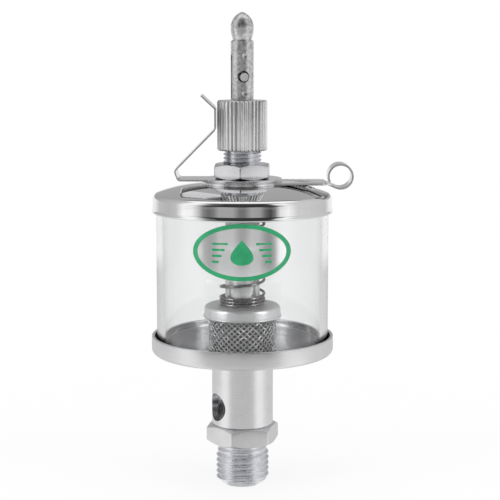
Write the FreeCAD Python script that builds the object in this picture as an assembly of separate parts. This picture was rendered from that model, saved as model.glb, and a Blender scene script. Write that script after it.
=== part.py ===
"""Gravity drip oiler: a glass oil reservoir with a needle valve, a lever and a screw-in sight foot.

Millimetres, Z up. The origin is the centre of the hexagon's lower face, which seats on the machine.
The lever's front side faces -Y.
"""
import FreeCAD, Part
import math
import os

UP = FreeCAD.Vector(0, 0, 1)
BACK = FreeCAD.Vector(0, 1, 0)
ORIGIN = FreeCAD.Vector(0, 0, 0)
MATCH = 0.01

# Screw foot, hexagon and neck, turned from one bar
thread_radius = 7.0
thread_length = 11.4
thread_end_chamfer = 1.7
undercut_depth = 0.75
undercut_length = 0.6
outlet_radius = 3.5
foot_hex_flats = 17.0
foot_hex_height = 5.0
foot_hex_turn = 13.4
hex_chamfer_angle = 30.0
hex_end_share = 0.98
neck_wall = 1.08
neck_length = 19.2
sight_bore_step = 0.5
funnel_low = 2.2
funnel_high = 4.0
window_radius = 3.65
window_rise = 5.0
window_direction = 29.85

# Oil pan under the glass
pan_depth = 4.8
pan_sheet = 0.8
pan_glass_gap = 0.6
plug_clearance = 0.1

# Glass cylinder and its two gaskets
glass_radius = 22.5
glass_wall = 2.0
glass_length = 37.1
gasket_overhang = 0.2
lower_gasket_height = 2.5
rim_chamfer = 0.25

# Lid, a pressed dome
lid_flat_radius = 9.0
lid_crown_radius = 38.9
lid_sheet = 0.6
lid_shoulder_gap = 1.12796
lid_shoulder_overhang = 0.9
lid_corner = 1.7
lid_skirt_overhang = 1.2
lid_skirt_depth = 7.4
lid_flare_height = 0.8
filler_hole_radius = 3.4
filler_hole_inset = 7.8

# Centre tube with the plug, the needle seat and the drip nose
tube_radius = 4.5
tube_bore_radius = 2.5
stem_radius = 5.0
stem_lead = 0.3
stem_end_chamfer = 0.5
plug_length = 7.6
plug_chamfer = 0.6
thread_fit = 0.02
seal_thickness = 0.8
flange_overhang = 1.2
flange_height = 1.2
nose_length = 2.5
nose_radius = 3.2
nose_tip_radius = 1.7
orifice_radius = 1.0
seat_depth = 2.2
seat_half_angle = 30.0
port_radius = 0.9
port_rise = 1.6
port_count = 4
port_start = 45.0
spring_pocket_wall = 1.3
spring_pocket_depth = 9.5
pocket_cone = 0.7

# Strainer around the foot of the tube
screen_flange_gap = 0.4
screen_wall = 0.4
screen_height = 11.5
mesh_columns = 24
mesh_rows = 5
mesh_gap_width = 1.55
mesh_gap_height = 1.5
cap_screen_gap = 0.55
cap_depth = 3.2
cap_sheet = 0.5
cap_corner = 0.9
cap_lip = 0.25
tube_slide_fit = 0.2
strainer_wire = 0.75
strainer_coil_gap = 0.85
strainer_turns = 7.5
strainer_low_turns = 2.05
strainer_start = 270.0
end_turns = 1.25
coil_gap = 0.04
coil_steps = 8
wire_sides = 8

# Filler cover, friction washer, detent leaf and clamp nut
stem_fit = 0.1
cover_sheet = 0.5
cover_disc_radius = 10.4
cover_width = 13.0
cover_overlap = 6.0
cover_corner = 1.2
dimple_radius = 2.4
dimple_depth = 0.2
tail_width = 7.0
curl_radius = 3.1
curl_centre_gap = 3.8
curl_centre_rise = 2.0
curl_end_angle = 208.0
plate_inset = 0.1
washer_thickness = 0.45
leaf_sheet = 0.4
leaf_width = 11.0
leaf_bend = 0.9
leaf_knob_gap = 0.25
leaf_heel_reach = 16.5
leaf_heel_bulge = 0.9
leaf_heel_rise = 2.4
leaf_hold_start = 5.55
leaf_hold_stop = 2.05
leaf_tip_out = 3.6
leaf_tip_above = 1.35
nut_flats = 14.0
nut_height = 3.8
nut_turn = 26.4

# Adjusting knob
knob_wall = 1.5
knob_lift = 8.6
knob_chamfer = 0.35
knob_thread_depth = 9.0
knob_thread_fit = 0.05
knob_thread_spare = 0.5
knob_spring_room = 1.4
knob_roof = 1.8
knob_recess_play = 1.05
lever_swing_gap = 0.17
flute_count = 38
flute_radius = 0.36
flute_depth = 0.26

# Lever, its pin and the needle
lever_radius = 2.95
lever_turn = 12.0
lever_shoulder_rise = 15.45
lever_shoulder_chamfer = 0.45
lever_neck_radius = 2.36
lever_foot_round = 0.5
head_rise = 3.95
head_tail_rise = 3.1
tip_blunt = 0.35
pin_rise = 5.95
pin_radius = 1.1
pin_fit = 0.06
pin_recess = 0.25
loose_hole_radius = 1.42
loose_hole_aside = 0.24
loose_hole_lift = 0.12
slot_width = 1.7
slot_spare = 0.9
dimple_mark_radius = 1.05
dimple_mark_depth = 0.35
mark_low = 1.9
mark_high = 11.3
needle_radius = 1.7
needle_fit = 0.07
needle_travel = 2.75
seat_clearance = 0.1
needle_point_radius = 0.25
tongue_play = 0.1
tongue_cap = 0.9
collar_play = 0.3
collar_height = 1.5
collar_clearance = 0.15
needle_wire = 0.6
needle_coil_play = 0.55
needle_spring_turns = 5.0

# Label on the front of the glass
label_width = 25.6
label_height = 14.3
label_thickness = 0.08
label_rise = 26.4

# Radii and reaches that follow from the sizes above
undercut_radius = thread_radius - undercut_depth
neck_radius = thread_radius + neck_wall
sight_bore_radius = thread_radius - sight_bore_step
pan_radius = glass_radius + pan_glass_gap + pan_sheet
pan_corner = pan_glass_gap + pan_sheet
gasket_inner_radius = glass_radius - glass_wall - gasket_overhang
lid_shoulder_radius = glass_radius + lid_shoulder_overhang
lid_skirt_radius = glass_radius + lid_skirt_overhang
filler_hole_reach = lid_shoulder_radius - filler_hole_inset
flange_radius = thread_radius + flange_overhang
spring_pocket_radius = stem_radius - spring_pocket_wall
screen_radius = flange_radius + screen_flange_gap + screen_wall
cap_radius = screen_radius + cap_screen_gap + cap_sheet + cap_lip
strainer_coil_radius = tube_radius + strainer_coil_gap + strainer_wire / 2
cover_reach = filler_hole_reach + cover_overlap
curl_centre_reach = cover_reach + curl_centre_gap
plate_radius = cover_disc_radius - plate_inset
knob_radius = stem_radius + knob_wall
knob_recess_radius = lever_radius + knob_recess_play
tongue_thickness = slot_width - 2 * tongue_play
collar_radius = spring_pocket_radius - collar_play
needle_coil_radius = spring_pocket_radius - needle_coil_play - needle_wire / 2

# Heights that follow from the sizes above
neck_top = foot_hex_height + neck_length
window_height = foot_hex_height + window_rise
pan_floor = neck_top + pan_sheet
glass_bottom = pan_floor + lower_gasket_height
glass_top = glass_bottom + glass_length
lid_inner_crown = lid_crown_radius - lid_sheet
lid_inner_run = lid_shoulder_radius - lid_sheet - lid_flat_radius
lid_crown_drop = lid_crown_radius - math.sqrt(lid_inner_crown ** 2 - lid_inner_run ** 2)
lid_top = glass_top + lid_shoulder_gap + lid_crown_drop
cover_bottom = lid_top
washer_bottom = cover_bottom + cover_sheet
leaf_bottom = washer_bottom + washer_thickness
nut_bottom = leaf_bottom + leaf_sheet
lever_foot_swing = math.dist((0, pin_rise), (lever_radius - lever_foot_round, lever_foot_round))
knob_recess_depth = lever_foot_swing + lever_foot_round - pin_rise + lever_swing_gap
knob_bottom = lid_top + knob_lift
knob_thread_top = knob_bottom + knob_thread_depth
stem_top = knob_thread_top - knob_thread_spare
spring_ceiling = knob_thread_top + knob_spring_room
knob_recess_floor = spring_ceiling + knob_roof
knob_top = knob_recess_floor + knob_recess_depth
flange_bottom = pan_floor + seal_thickness
flange_top = flange_bottom + flange_height
plug_bottom = neck_top - plug_length
nose_bottom = plug_bottom - nose_length
seat_low = plug_bottom + seat_depth
screen_top = pan_floor + screen_height
cap_top = screen_top + cap_sheet
pocket_floor = stem_top - spring_pocket_depth
pin_height = knob_top + pin_rise
slot_top = pin_rise + needle_travel + pin_radius + tongue_cap + slot_spare
collar_bottom = pocket_floor + needle_travel + collar_clearance


def cylinder(radius, low, high):
    """Upright round bar between two heights."""
    return Part.makeCylinder(radius, high - low, FreeCAD.Vector(0, 0, low))


def ring(outer, inner, low, high):
    """Upright round tube between two heights."""
    return cylinder(outer, low, high).cut(cylinder(inner, low, high))


def spot(x, z):
    """Point in the XZ plane."""
    return FreeCAD.Vector(x, 0, z)


def outline(start, *stops):
    """Closed face in the XZ plane: a stop is a point, or an arc's middle point and its end."""
    edges = []
    here = spot(*start)
    for stop in stops + (start,):
        if isinstance(stop[0], tuple):
            middle = spot(*stop[0])
            there = spot(*stop[1])
            edges.append(Part.Arc(here, middle, there).toShape())
            here = there
        else:
            there = spot(*stop)
            if (there - here).Length > MATCH:
                edges.append(Part.makeLine(here, there))
                here = there
    return Part.Face(Part.Wire(edges))


def turned(face):
    """Solid of revolution about the Z axis."""
    return face.revolve(ORIGIN, UP, 360)


def rims(shape, radius, height):
    """Circular edges of one radius at one height."""
    found = []
    for edge in shape.Edges:
        curve = edge.Curve
        if isinstance(curve, Part.Circle):
            same_radius = abs(curve.Radius - radius) < MATCH
            same_height = abs(curve.Center.z - height) < MATCH
            if same_radius and same_height:
                found.append(edge)
    return found


def turn(shape, degrees):
    """Copy turned about the Z axis."""
    copy = shape.copy()
    copy.rotate(ORIGIN, UP, degrees)
    return copy


def hexagon(flats, low, high, degrees, top_radius):
    """Hexagonal bar with chamfered ends, whose upper end face has its own radius."""
    corner = flats / 2 / math.cos(math.pi / 6)
    points = [
        FreeCAD.Vector(corner * math.cos(i * math.pi / 3), corner * math.sin(i * math.pi / 3), low)
        for i in range(7)
    ]
    bar = Part.Face(Part.makePolygon(points)).extrude(UP * (high - low))
    end_radius = flats / 2 * hex_end_share
    slope = math.tan(math.radians(hex_chamfer_angle))
    envelope = turned(outline(
        (0, low),
        (end_radius, low),
        (corner, low + (corner - end_radius) * slope),
        (corner, high - (corner - top_radius) * slope),
        (top_radius, high),
        (0, high),
    ))
    return turn(bar.common(envelope), degrees)


def coil(radius, wire, low, high, turns, low_turns=end_turns, start=0):
    """Compression spring between two heights, closed at both ends, from a start angle."""
    base = low + wire / 2 + coil_gap
    reach = high - low - wire - 2 * coil_gap
    closed_rise = wire + coil_gap
    total = turns + low_turns + end_turns
    count = round(total * coil_steps)
    points = []
    for i in range(count + 1):
        done = total * i / count
        closed_part = min(done, low_turns) + max(0, done - low_turns - turns)
        closed = closed_rise * closed_part
        active_reach = reach - closed_rise * (low_turns + end_turns)
        active = active_reach * (done - closed_part) / turns
        angle = math.radians(start) + 2 * math.pi * done
        height = base + closed + active
        points.append(FreeCAD.Vector(radius * math.cos(angle), radius * math.sin(angle), height))
    curve = Part.BSplineCurve()
    curve.interpolate(points)
    path = Part.Wire(curve.toShape())
    along = curve.tangent(curve.FirstParameter)[0]
    level = along.cross(UP).normalize()
    upright = level.cross(along)
    corners = []
    for i in range(wire_sides + 1):
        angle = 2 * math.pi * (i + 0.5) / wire_sides
        corners.append(points[0] + (level * math.cos(angle) + upright * math.sin(angle)) * wire / 2)
    return path.makePipeShell([Part.makePolygon(corners)], True, True)


def offset_point(point, direction, distance):
    """Point moved sideways from a direction of travel in the XZ plane."""
    return (point[0] - direction[1] * distance, point[1] + direction[0] * distance)


def heading(start, end):
    """Unit direction between two points of the XZ plane."""
    length = math.dist(start, end)
    return ((end[0] - start[0]) / length, (end[1] - start[1]) / length)


def side_stops(points, offset, bend):
    """Outline stops along one side of a bent sheet, with each bend as an arc."""
    stops = [offset_point(points[0], heading(points[0], points[1]), offset)]
    for before, corner, after in zip(points, points[1:], points[2:]):
        inward = heading(before, corner)
        outward = heading(corner, after)
        cross = inward[0] * outward[1] - inward[1] * outward[0]
        swing = math.acos(inward[0] * outward[0] + inward[1] * outward[1])
        hand = math.copysign(1, cross)
        trim = bend * math.tan(swing / 2)
        entry = (corner[0] - inward[0] * trim, corner[1] - inward[1] * trim)
        leave = (corner[0] + outward[0] * trim, corner[1] + outward[1] * trim)
        centre = offset_point(entry, inward, hand * bend)
        apex = heading(centre, corner)
        reach = bend - hand * offset
        first = offset_point(entry, inward, offset)
        last = offset_point(leave, outward, offset)
        crown = (centre[0] + apex[0] * reach, centre[1] + apex[1] * reach)
        stops += [first, (crown, last)]
    stops.append(offset_point(points[-1], heading(points[-2], points[-1]), offset))
    return stops


def backward(stops):
    """The same stops travelled from the last to the first."""
    points = [stop[1] if isinstance(stop[0], tuple) else stop for stop in stops]
    result = [points[-1]]
    for index in range(len(stops) - 1, 0, -1):
        stop = stops[index]
        target = points[index - 1]
        result.append((stop[0], target) if isinstance(stop[0], tuple) else target)
    return result


def bent_sheet(points, thickness, width, bend):
    """Sheet strip whose middle line runs through the points, centred on the XZ plane."""
    there = side_stops(points, thickness / 2, bend)
    back = backward(side_stops(points, -thickness / 2, bend))
    face = outline(*there, *back)
    face.translate(BACK * (-width / 2))
    return face.extrude(BACK * width)


def make_base_body():
    """Screw foot, hexagon and sight neck in one piece, bored through."""
    foot = turned(outline(
        (0, -thread_length),
        (thread_radius - thread_end_chamfer, -thread_length),
        (thread_radius, thread_end_chamfer - thread_length),
        (thread_radius, -undercut_length),
        (undercut_radius, -undercut_length),
        (undercut_radius, 0),
        (neck_radius, 0),
        (neck_radius, neck_top),
        (0, neck_top),
    ))
    head = hexagon(foot_hex_flats, 0, foot_hex_height, foot_hex_turn, neck_radius)
    body = foot.fuse(head)
    plug_bore = thread_radius + thread_fit
    sight_top = plug_bottom - thread_fit
    bore = turned(outline(
        (0, -thread_length),
        (outlet_radius, -thread_length),
        (outlet_radius, funnel_low),
        (sight_bore_radius, funnel_high),
        (sight_bore_radius, sight_top),
        (plug_bore, sight_top),
        (plug_bore, neck_top),
        (0, neck_top),
    ))
    window = Part.makeCylinder(
        window_radius,
        4 * neck_radius,
        FreeCAD.Vector(-2 * neck_radius, 0, window_height),
        FreeCAD.Vector(1, 0, 0),
    )
    return body.cut([bore, turn(window, window_direction)])


def make_pan():
    """Shallow drawn pan that carries the glass."""
    rim_top = neck_top + pan_depth
    outside = cylinder(pan_radius, neck_top, rim_top)
    outside = outside.makeFillet(pan_corner, rims(outside, pan_radius, neck_top))
    inner_radius = pan_radius - pan_sheet
    inside = cylinder(inner_radius, pan_floor, rim_top + pan_sheet)
    inside = inside.makeFillet(pan_corner - pan_sheet, rims(inside, inner_radius, pan_floor))
    hole = cylinder(thread_radius + plug_clearance, neck_top, pan_floor)
    return outside.cut([inside, hole])


def make_pan_seal():
    """Flat washer under the tube's flange."""
    return ring(flange_radius, thread_radius + plug_clearance, pan_floor, flange_bottom)


def make_lower_gasket():
    """Flat ring in the pan that the glass stands on."""
    return ring(glass_radius, gasket_inner_radius, pan_floor, glass_bottom)


def make_glass():
    """Plain glass cylinder with eased rims."""
    inner = glass_radius - glass_wall
    glass = ring(glass_radius, inner, glass_bottom, glass_top)
    edges = []
    for radius in (glass_radius, inner):
        for height in (glass_bottom, glass_top):
            edges += rims(glass, radius, height)
    return glass.makeChamfer(rim_chamfer, edges)


def dome(depth):
    """Filled lid form, measured inward from the outer skin by a depth."""
    crown = lid_crown_radius - depth
    centre_height = lid_top - lid_crown_radius
    shoulder = lid_shoulder_radius - depth
    run = shoulder - lid_flat_radius
    shoulder_height = centre_height + math.sqrt(crown ** 2 - run ** 2)
    middle = run / 2
    middle_height = centre_height + math.sqrt(crown ** 2 - middle ** 2)
    skirt_bottom = lid_top - lid_skirt_depth
    form = turned(outline(
        (0, skirt_bottom),
        (lid_skirt_radius - depth, skirt_bottom),
        (shoulder, skirt_bottom + lid_flare_height),
        (shoulder, shoulder_height),
        ((lid_flat_radius + middle, middle_height), (lid_flat_radius, lid_top - depth)),
        (0, lid_top - depth),
    ))
    return form.makeFillet(lid_corner - depth, rims(form, shoulder, shoulder_height))


def make_lid():
    """Pressed lid with the hole for the stem and the filler hole."""
    stem_hole = cylinder(stem_radius + stem_fit, lid_top - lid_sheet, lid_top)
    filler_hole = cylinder(filler_hole_radius, lid_top - lid_skirt_depth, lid_top)
    filler_hole.translate(FreeCAD.Vector(filler_hole_reach, 0, 0))
    return dome(0).cut([dome(lid_sheet), stem_hole, filler_hole])


def make_upper_gasket():
    """Ring between the glass and the underside of the lid."""
    return ring(glass_radius, gasket_inner_radius, glass_top, lid_top).common(dome(lid_sheet))


def make_centre_tube():
    """Tube with its plug, flange, threaded stem, drip nose, needle seat and oil ports."""
    lid_under = lid_top - lid_sheet
    seat_rise = (tube_bore_radius - orifice_radius) / math.tan(math.radians(seat_half_angle))
    tube = turned(outline(
        (orifice_radius, nose_bottom),
        (nose_tip_radius, nose_bottom),
        (nose_radius, plug_bottom),
        (thread_radius - plug_chamfer, plug_bottom),
        (thread_radius, plug_bottom + plug_chamfer),
        (thread_radius, flange_bottom),
        (flange_radius, flange_bottom),
        (flange_radius, flange_top),
        (tube_radius, flange_top),
        (tube_radius, lid_under - stem_lead),
        (stem_radius, lid_under),
        (stem_radius, stem_top - stem_end_chamfer),
        (stem_radius - stem_end_chamfer, stem_top),
        (spring_pocket_radius, stem_top),
        (spring_pocket_radius, pocket_floor),
        (tube_bore_radius, pocket_floor - pocket_cone),
        (tube_bore_radius, seat_low + seat_rise),
        (orifice_radius, seat_low),
    ))
    ports = []
    for i in range(port_count):
        port = Part.makeCylinder(
            port_radius,
            tube_radius * 2,
            FreeCAD.Vector(0, 0, flange_top + port_rise),
            FreeCAD.Vector(1, 0, 0),
        )
        ports.append(turn(port, port_start + i * 360 / port_count))
    return tube.cut(ports)


def make_screen():
    """Strainer sleeve with rows of staggered diamond gaps."""
    inner = screen_radius - screen_wall
    sleeve = ring(screen_radius, inner, pan_floor, screen_top)
    half_width = mesh_gap_width / 2
    half_height = mesh_gap_height / 2
    row_step = screen_height / (mesh_rows + 1)
    gaps = []
    for row in range(mesh_rows):
        centre = pan_floor + (row + 1) * row_step
        corners = [
            FreeCAD.Vector(inner - screen_wall, -half_width, centre),
            FreeCAD.Vector(inner - screen_wall, 0, centre - half_height),
            FreeCAD.Vector(inner - screen_wall, half_width, centre),
            FreeCAD.Vector(inner - screen_wall, 0, centre + half_height),
            FreeCAD.Vector(inner - screen_wall, -half_width, centre),
        ]
        diamond = Part.Face(Part.makePolygon(corners)).extrude(FreeCAD.Vector(3 * screen_wall, 0, 0))
        for column in range(mesh_columns):
            gaps.append(turn(diamond, (column + row % 2 / 2) * 360 / mesh_columns))
    return sleeve.cut(gaps)


def make_cap():
    """Drawn cap on the strainer, with a rounded shoulder and a beaded lip."""
    low = cap_top - cap_depth
    outside = cylinder(cap_radius - cap_lip, low, cap_top)
    outside = outside.makeFillet(cap_corner, rims(outside, cap_radius - cap_lip, cap_top))
    lip = Part.makeTorus(cap_radius - cap_lip, cap_lip, FreeCAD.Vector(0, 0, low + cap_lip))
    inner_radius = cap_radius - cap_lip - cap_sheet
    inside = cylinder(inner_radius, low - cap_lip, cap_top - cap_sheet)
    hole = cylinder(tube_radius + tube_slide_fit, low, cap_top)
    return outside.fuse(lip).cut([inside, hole])


def make_strainer_spring():
    """Long spring around the tube that holds the strainer down."""
    lid_under = lid_top - lid_sheet
    return coil(
        strainer_coil_radius, strainer_wire, cap_top, lid_under, strainer_turns,
        strainer_low_turns, strainer_start,
    )


def dimple_cap(level):
    """Shallow ball cap hanging from a level over the filler hole."""
    ball = (dimple_radius ** 2 + dimple_depth ** 2) / (2 * dimple_depth)
    edge = math.asin(dimple_radius / ball) / 2
    middle = (ball * math.sin(edge), level - dimple_depth + ball * (1 - math.cos(edge)))
    cap = turned(outline(
        (0, level - dimple_depth),
        (middle, (dimple_radius, level)),
        (0, level),
    ))
    cap.translate(FreeCAD.Vector(filler_hole_reach, 0, 0))
    return cap


def make_filler_cover():
    """Swinging cover: a disc round the stem, a wide tongue with a dimple and a curled finger ring."""
    top = cover_bottom + cover_sheet
    middle = cover_bottom + cover_sheet / 2
    disc = cylinder(cover_disc_radius, cover_bottom, top)
    tongue = Part.makeBox(
        cover_reach, cover_width, cover_sheet, FreeCAD.Vector(0, -cover_width / 2, cover_bottom)
    )
    ends = [
        edge for edge in tongue.Edges
        if abs(edge.tangentAt(edge.FirstParameter).z) > 1 - MATCH
        and abs(edge.CenterOfMass.x - cover_reach) < MATCH
    ]
    tongue = tongue.makeFillet(cover_corner, ends)
    centre = (curl_centre_reach, cover_bottom + curl_centre_rise)
    start = (cover_reach, middle)
    distance = math.dist(start, centre)
    aim = math.atan2(centre[1] - start[1], centre[0] - start[0])
    touch_angle = aim - math.pi + math.acos(curl_radius / distance)
    touch = (
        centre[0] + curl_radius * math.cos(touch_angle),
        centre[1] + curl_radius * math.sin(touch_angle),
    )
    end_angle = math.radians(curl_end_angle)
    half_angle = (touch_angle + end_angle) / 2
    along = heading(start, touch)
    half = cover_sheet / 2
    root = (start[0] - cover_sheet - cover_corner, middle)

    def on_curl(radius, angle):
        return (centre[0] + radius * math.cos(angle), centre[1] + radius * math.sin(angle))

    outer = curl_radius + half
    inner = curl_radius - half
    ribbon = outline(
        (root[0], middle - half),
        (start[0], middle - half),
        offset_point(touch, along, -half),
        (on_curl(outer, half_angle), on_curl(outer, end_angle)),
        on_curl(inner, end_angle),
        (on_curl(inner, half_angle), offset_point(touch, along, half)),
        (start[0], middle + half),
        (root[0], middle + half),
    )
    ribbon.translate(BACK * (-tail_width / 2))
    tail = ribbon.extrude(BACK * tail_width)
    bulge = dimple_cap(cover_bottom)
    hollow = dimple_cap(top)
    blank = disc.fuse([tongue, tail, bulge]).removeSplitter()
    stem_hole = cylinder(stem_radius + stem_fit, cover_bottom, top)
    return blank.cut([hollow, stem_hole])


def make_friction_washer():
    """Flat washer that lets the cover swing under the leaf."""
    return ring(plate_radius, stem_radius + stem_fit, washer_bottom, leaf_bottom)


def make_detent_leaf():
    """Leaf spring bent up from a disc, whose free end rides on the knob's flutes."""
    disc = cylinder(plate_radius, leaf_bottom, nut_bottom)
    middle = leaf_bottom + leaf_sheet / 2
    hold = knob_radius + leaf_knob_gap + leaf_sheet / 2
    strip = bent_sheet(
        [
            (0, middle),
            (-leaf_heel_reach, middle),
            (-leaf_heel_reach - leaf_heel_bulge, middle + leaf_heel_rise),
            (-hold, knob_bottom + leaf_hold_start),
            (-hold, knob_top - leaf_hold_stop),
            (-hold - leaf_tip_out, knob_top + leaf_tip_above),
        ],
        leaf_sheet,
        leaf_width,
        leaf_bend,
    )
    stem_hole = cylinder(stem_radius + stem_fit, leaf_bottom, nut_bottom)
    return disc.fuse(strip).removeSplitter().cut(stem_hole)


def make_clamp_nut():
    """Thin hexagon nut that clamps the lid, cover and leaf on the stem."""
    top_radius = nut_flats / 2 * hex_end_share
    nut = hexagon(nut_flats, nut_bottom, nut_bottom + nut_height, nut_turn, top_radius)
    return nut.cut(cylinder(stem_radius + thread_fit, nut_bottom, nut_bottom + nut_height))


def make_knob():
    """Fluted knob that screws on the stem and holds the needle spring's upper end."""
    thread_bore = stem_radius + knob_thread_fit
    knob = turned(outline(
        (thread_bore, knob_bottom),
        (knob_radius - knob_chamfer, knob_bottom),
        (knob_radius, knob_bottom + knob_chamfer),
        (knob_radius, knob_top - knob_chamfer),
        (knob_radius - knob_chamfer, knob_top),
        (knob_recess_radius + knob_chamfer, knob_top),
        (knob_recess_radius, knob_top - knob_chamfer),
        (knob_recess_radius, knob_recess_floor),
        (needle_radius + needle_fit, knob_recess_floor),
        (needle_radius + needle_fit, spring_ceiling),
        (spring_pocket_radius, spring_ceiling),
        (spring_pocket_radius, knob_thread_top),
        (thread_bore, knob_thread_top),
    ))
    flute = cylinder(flute_radius, knob_bottom, knob_top)
    flute.translate(FreeCAD.Vector(knob_radius + flute_radius - flute_depth, 0, 0))
    flutes = [turn(flute, i * 360 / flute_count) for i in range(flute_count)]
    return knob.cut(flutes)


def cross_bar(radius, low_y, high_y, height):
    """Round bar along Y at a height on the axis."""
    return Part.makeCylinder(radius, high_y - low_y, FreeCAD.Vector(0, low_y, height), BACK)


def make_lever():
    """Turned lever with a bullet head, a slotted foot, the pin hole and two punch marks."""
    foot = knob_top
    shoulder = foot + lever_shoulder_rise
    widest = shoulder + head_tail_rise
    tail_half = head_tail_rise / 2
    head_curve = (lever_radius ** 2 + head_rise ** 2) / (2 * lever_radius)
    tail_drop = lever_radius - lever_neck_radius
    tail_curve = (tail_drop ** 2 + head_tail_rise ** 2) / (2 * tail_drop)
    inset = head_curve - lever_radius
    blunt_height = math.sqrt(head_curve ** 2 - (inset + tip_blunt) ** 2)
    head_half = blunt_height / 2
    head_middle = math.sqrt(head_curve ** 2 - head_half ** 2) - inset
    tail_middle = math.sqrt(tail_curve ** 2 - tail_half ** 2) - tail_curve + lever_radius
    share = tip_blunt / (inset + tip_blunt)
    tip_round = head_curve * share
    tip_centre = widest + blunt_height * (1 - share)
    tip_angle = math.asin(tip_blunt / tip_round) / 2
    round_in = lever_foot_round * (1 - math.cos(math.pi / 4))
    lever = turned(outline(
        (0, foot),
        (lever_radius - lever_foot_round, foot),
        ((lever_radius - round_in, foot + round_in), (lever_radius, foot + lever_foot_round)),
        (lever_radius, shoulder - lever_shoulder_chamfer),
        (lever_neck_radius, shoulder),
        ((tail_middle, widest - tail_half), (lever_radius, widest)),
        ((head_middle, widest + head_half), (tip_blunt, widest + blunt_height)),
        (
            (tip_round * math.sin(tip_angle), tip_centre + tip_round * math.cos(tip_angle)),
            (0, tip_centre + tip_round),
        ),
    ))
    slot = Part.makeBox(
        4 * lever_radius, slot_width, slot_top,
        FreeCAD.Vector(-2 * lever_radius, -slot_width / 2, foot),
    )
    pin_hole = cross_bar(pin_radius + pin_fit, -lever_radius, lever_radius, pin_height)
    cuts = [slot, pin_hole]
    loose_hole = cross_bar(loose_hole_radius, -lever_radius, 0, pin_height + loose_hole_lift)
    loose_hole.translate(FreeCAD.Vector(-loose_hole_aside, 0, 0))
    cuts.append(loose_hole)
    for rise in (mark_low, mark_high):
        reach = lever_radius + dimple_mark_radius - dimple_mark_depth
        cuts.append(Part.makeSphere(dimple_mark_radius, FreeCAD.Vector(0, -reach, foot + rise)))
    return turn(lever.cut(cuts), lever_turn)


def make_pivot_pin():
    """Pin through the lever's cheeks and the needle's eye."""
    half = lever_radius - pin_recess
    return turn(cross_bar(pin_radius, -half, half, pin_height), lever_turn)


def make_needle():
    """Valve needle: a cone at the foot, a round stem and a flat tongue with a long eye."""
    slope = math.tan(math.radians(seat_half_angle))
    closed_apex = seat_low - orifice_radius / slope + seat_clearance
    apex = closed_apex + needle_travel
    top = pin_height + needle_travel + pin_radius + tongue_cap
    stem = turned(outline(
        (0, apex + needle_point_radius / slope),
        (needle_point_radius, apex + needle_point_radius / slope),
        (needle_radius, apex + needle_radius / slope),
        (needle_radius, top),
        (0, top),
    ))
    cuts = []
    for side in (-1, 1):
        low_y = tongue_thickness / 2 if side > 0 else -tongue_thickness / 2 - needle_radius
        cuts.append(Part.makeBox(
            2 * needle_radius, needle_radius, top - knob_recess_floor,
            FreeCAD.Vector(-needle_radius, low_y, knob_recess_floor),
        ))
    eye_radius = pin_radius + pin_fit
    for height in (pin_height, pin_height + needle_travel):
        cuts.append(cross_bar(eye_radius, -needle_radius, needle_radius, height))
    cuts.append(Part.makeBox(
        2 * eye_radius, 2 * needle_radius, needle_travel,
        FreeCAD.Vector(-eye_radius, -needle_radius, pin_height),
    ))
    return turn(stem.cut(cuts), lever_turn)


def make_needle_collar():
    """Collar pressed on the needle that the needle spring pushes down."""
    return ring(collar_radius, needle_radius, collar_bottom, collar_bottom + collar_height)


def make_needle_spring():
    """Spring between the collar and the roof of the knob."""
    low = collar_bottom + collar_height
    return coil(needle_coil_radius, needle_wire, low, spring_ceiling, needle_spring_turns)


def make_label():
    """Thin oval foil that follows the front of the glass."""
    skin = ring(glass_radius + label_thickness, glass_radius, glass_bottom, glass_top)
    centre = FreeCAD.Vector(0, 0, glass_bottom + label_rise)
    half_chord = glass_radius * math.sin(label_width / 2 / glass_radius)
    oval = Part.Ellipse(centre, half_chord, label_height / 2)
    oval.Axis = BACK * -1
    oval.XAxis = FreeCAD.Vector(1, 0, 0)
    face = Part.Face(Part.Wire(oval.toShape()))
    return skin.common(face.extrude(BACK * (-2 * glass_radius)))


def main():
    os.makedirs("parts", exist_ok=True)
    pieces = {
        "base_body": make_base_body,
        "pan": make_pan,
        "pan_seal": make_pan_seal,
        "lower_gasket": make_lower_gasket,
        "glass_cylinder": make_glass,
        "upper_gasket": make_upper_gasket,
        "lid": make_lid,
        "centre_tube": make_centre_tube,
        "strainer_screen": make_screen,
        "strainer_cap": make_cap,
        "strainer_spring": make_strainer_spring,
        "filler_cover": make_filler_cover,
        "friction_washer": make_friction_washer,
        "detent_leaf": make_detent_leaf,
        "clamp_nut": make_clamp_nut,
        "adjusting_knob": make_knob,
        "lever": make_lever,
        "pivot_pin": make_pivot_pin,
        "needle": make_needle,
        "needle_collar": make_needle_collar,
        "needle_spring": make_needle_spring,
        "label": make_label,
    }
    for name, make in pieces.items():
        make().exportStep(os.path.join("parts", name + ".step"))


main()
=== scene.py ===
"""Gravity oiler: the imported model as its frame, dressed with turned, threaded, woven and plated pieces.

Lengths are written in millimetres and scaled once, when a mesh is made. Z is up, and -Y is the front.
"""
import bmesh
import bpy
import math
from mathutils import Matrix, Vector


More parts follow.
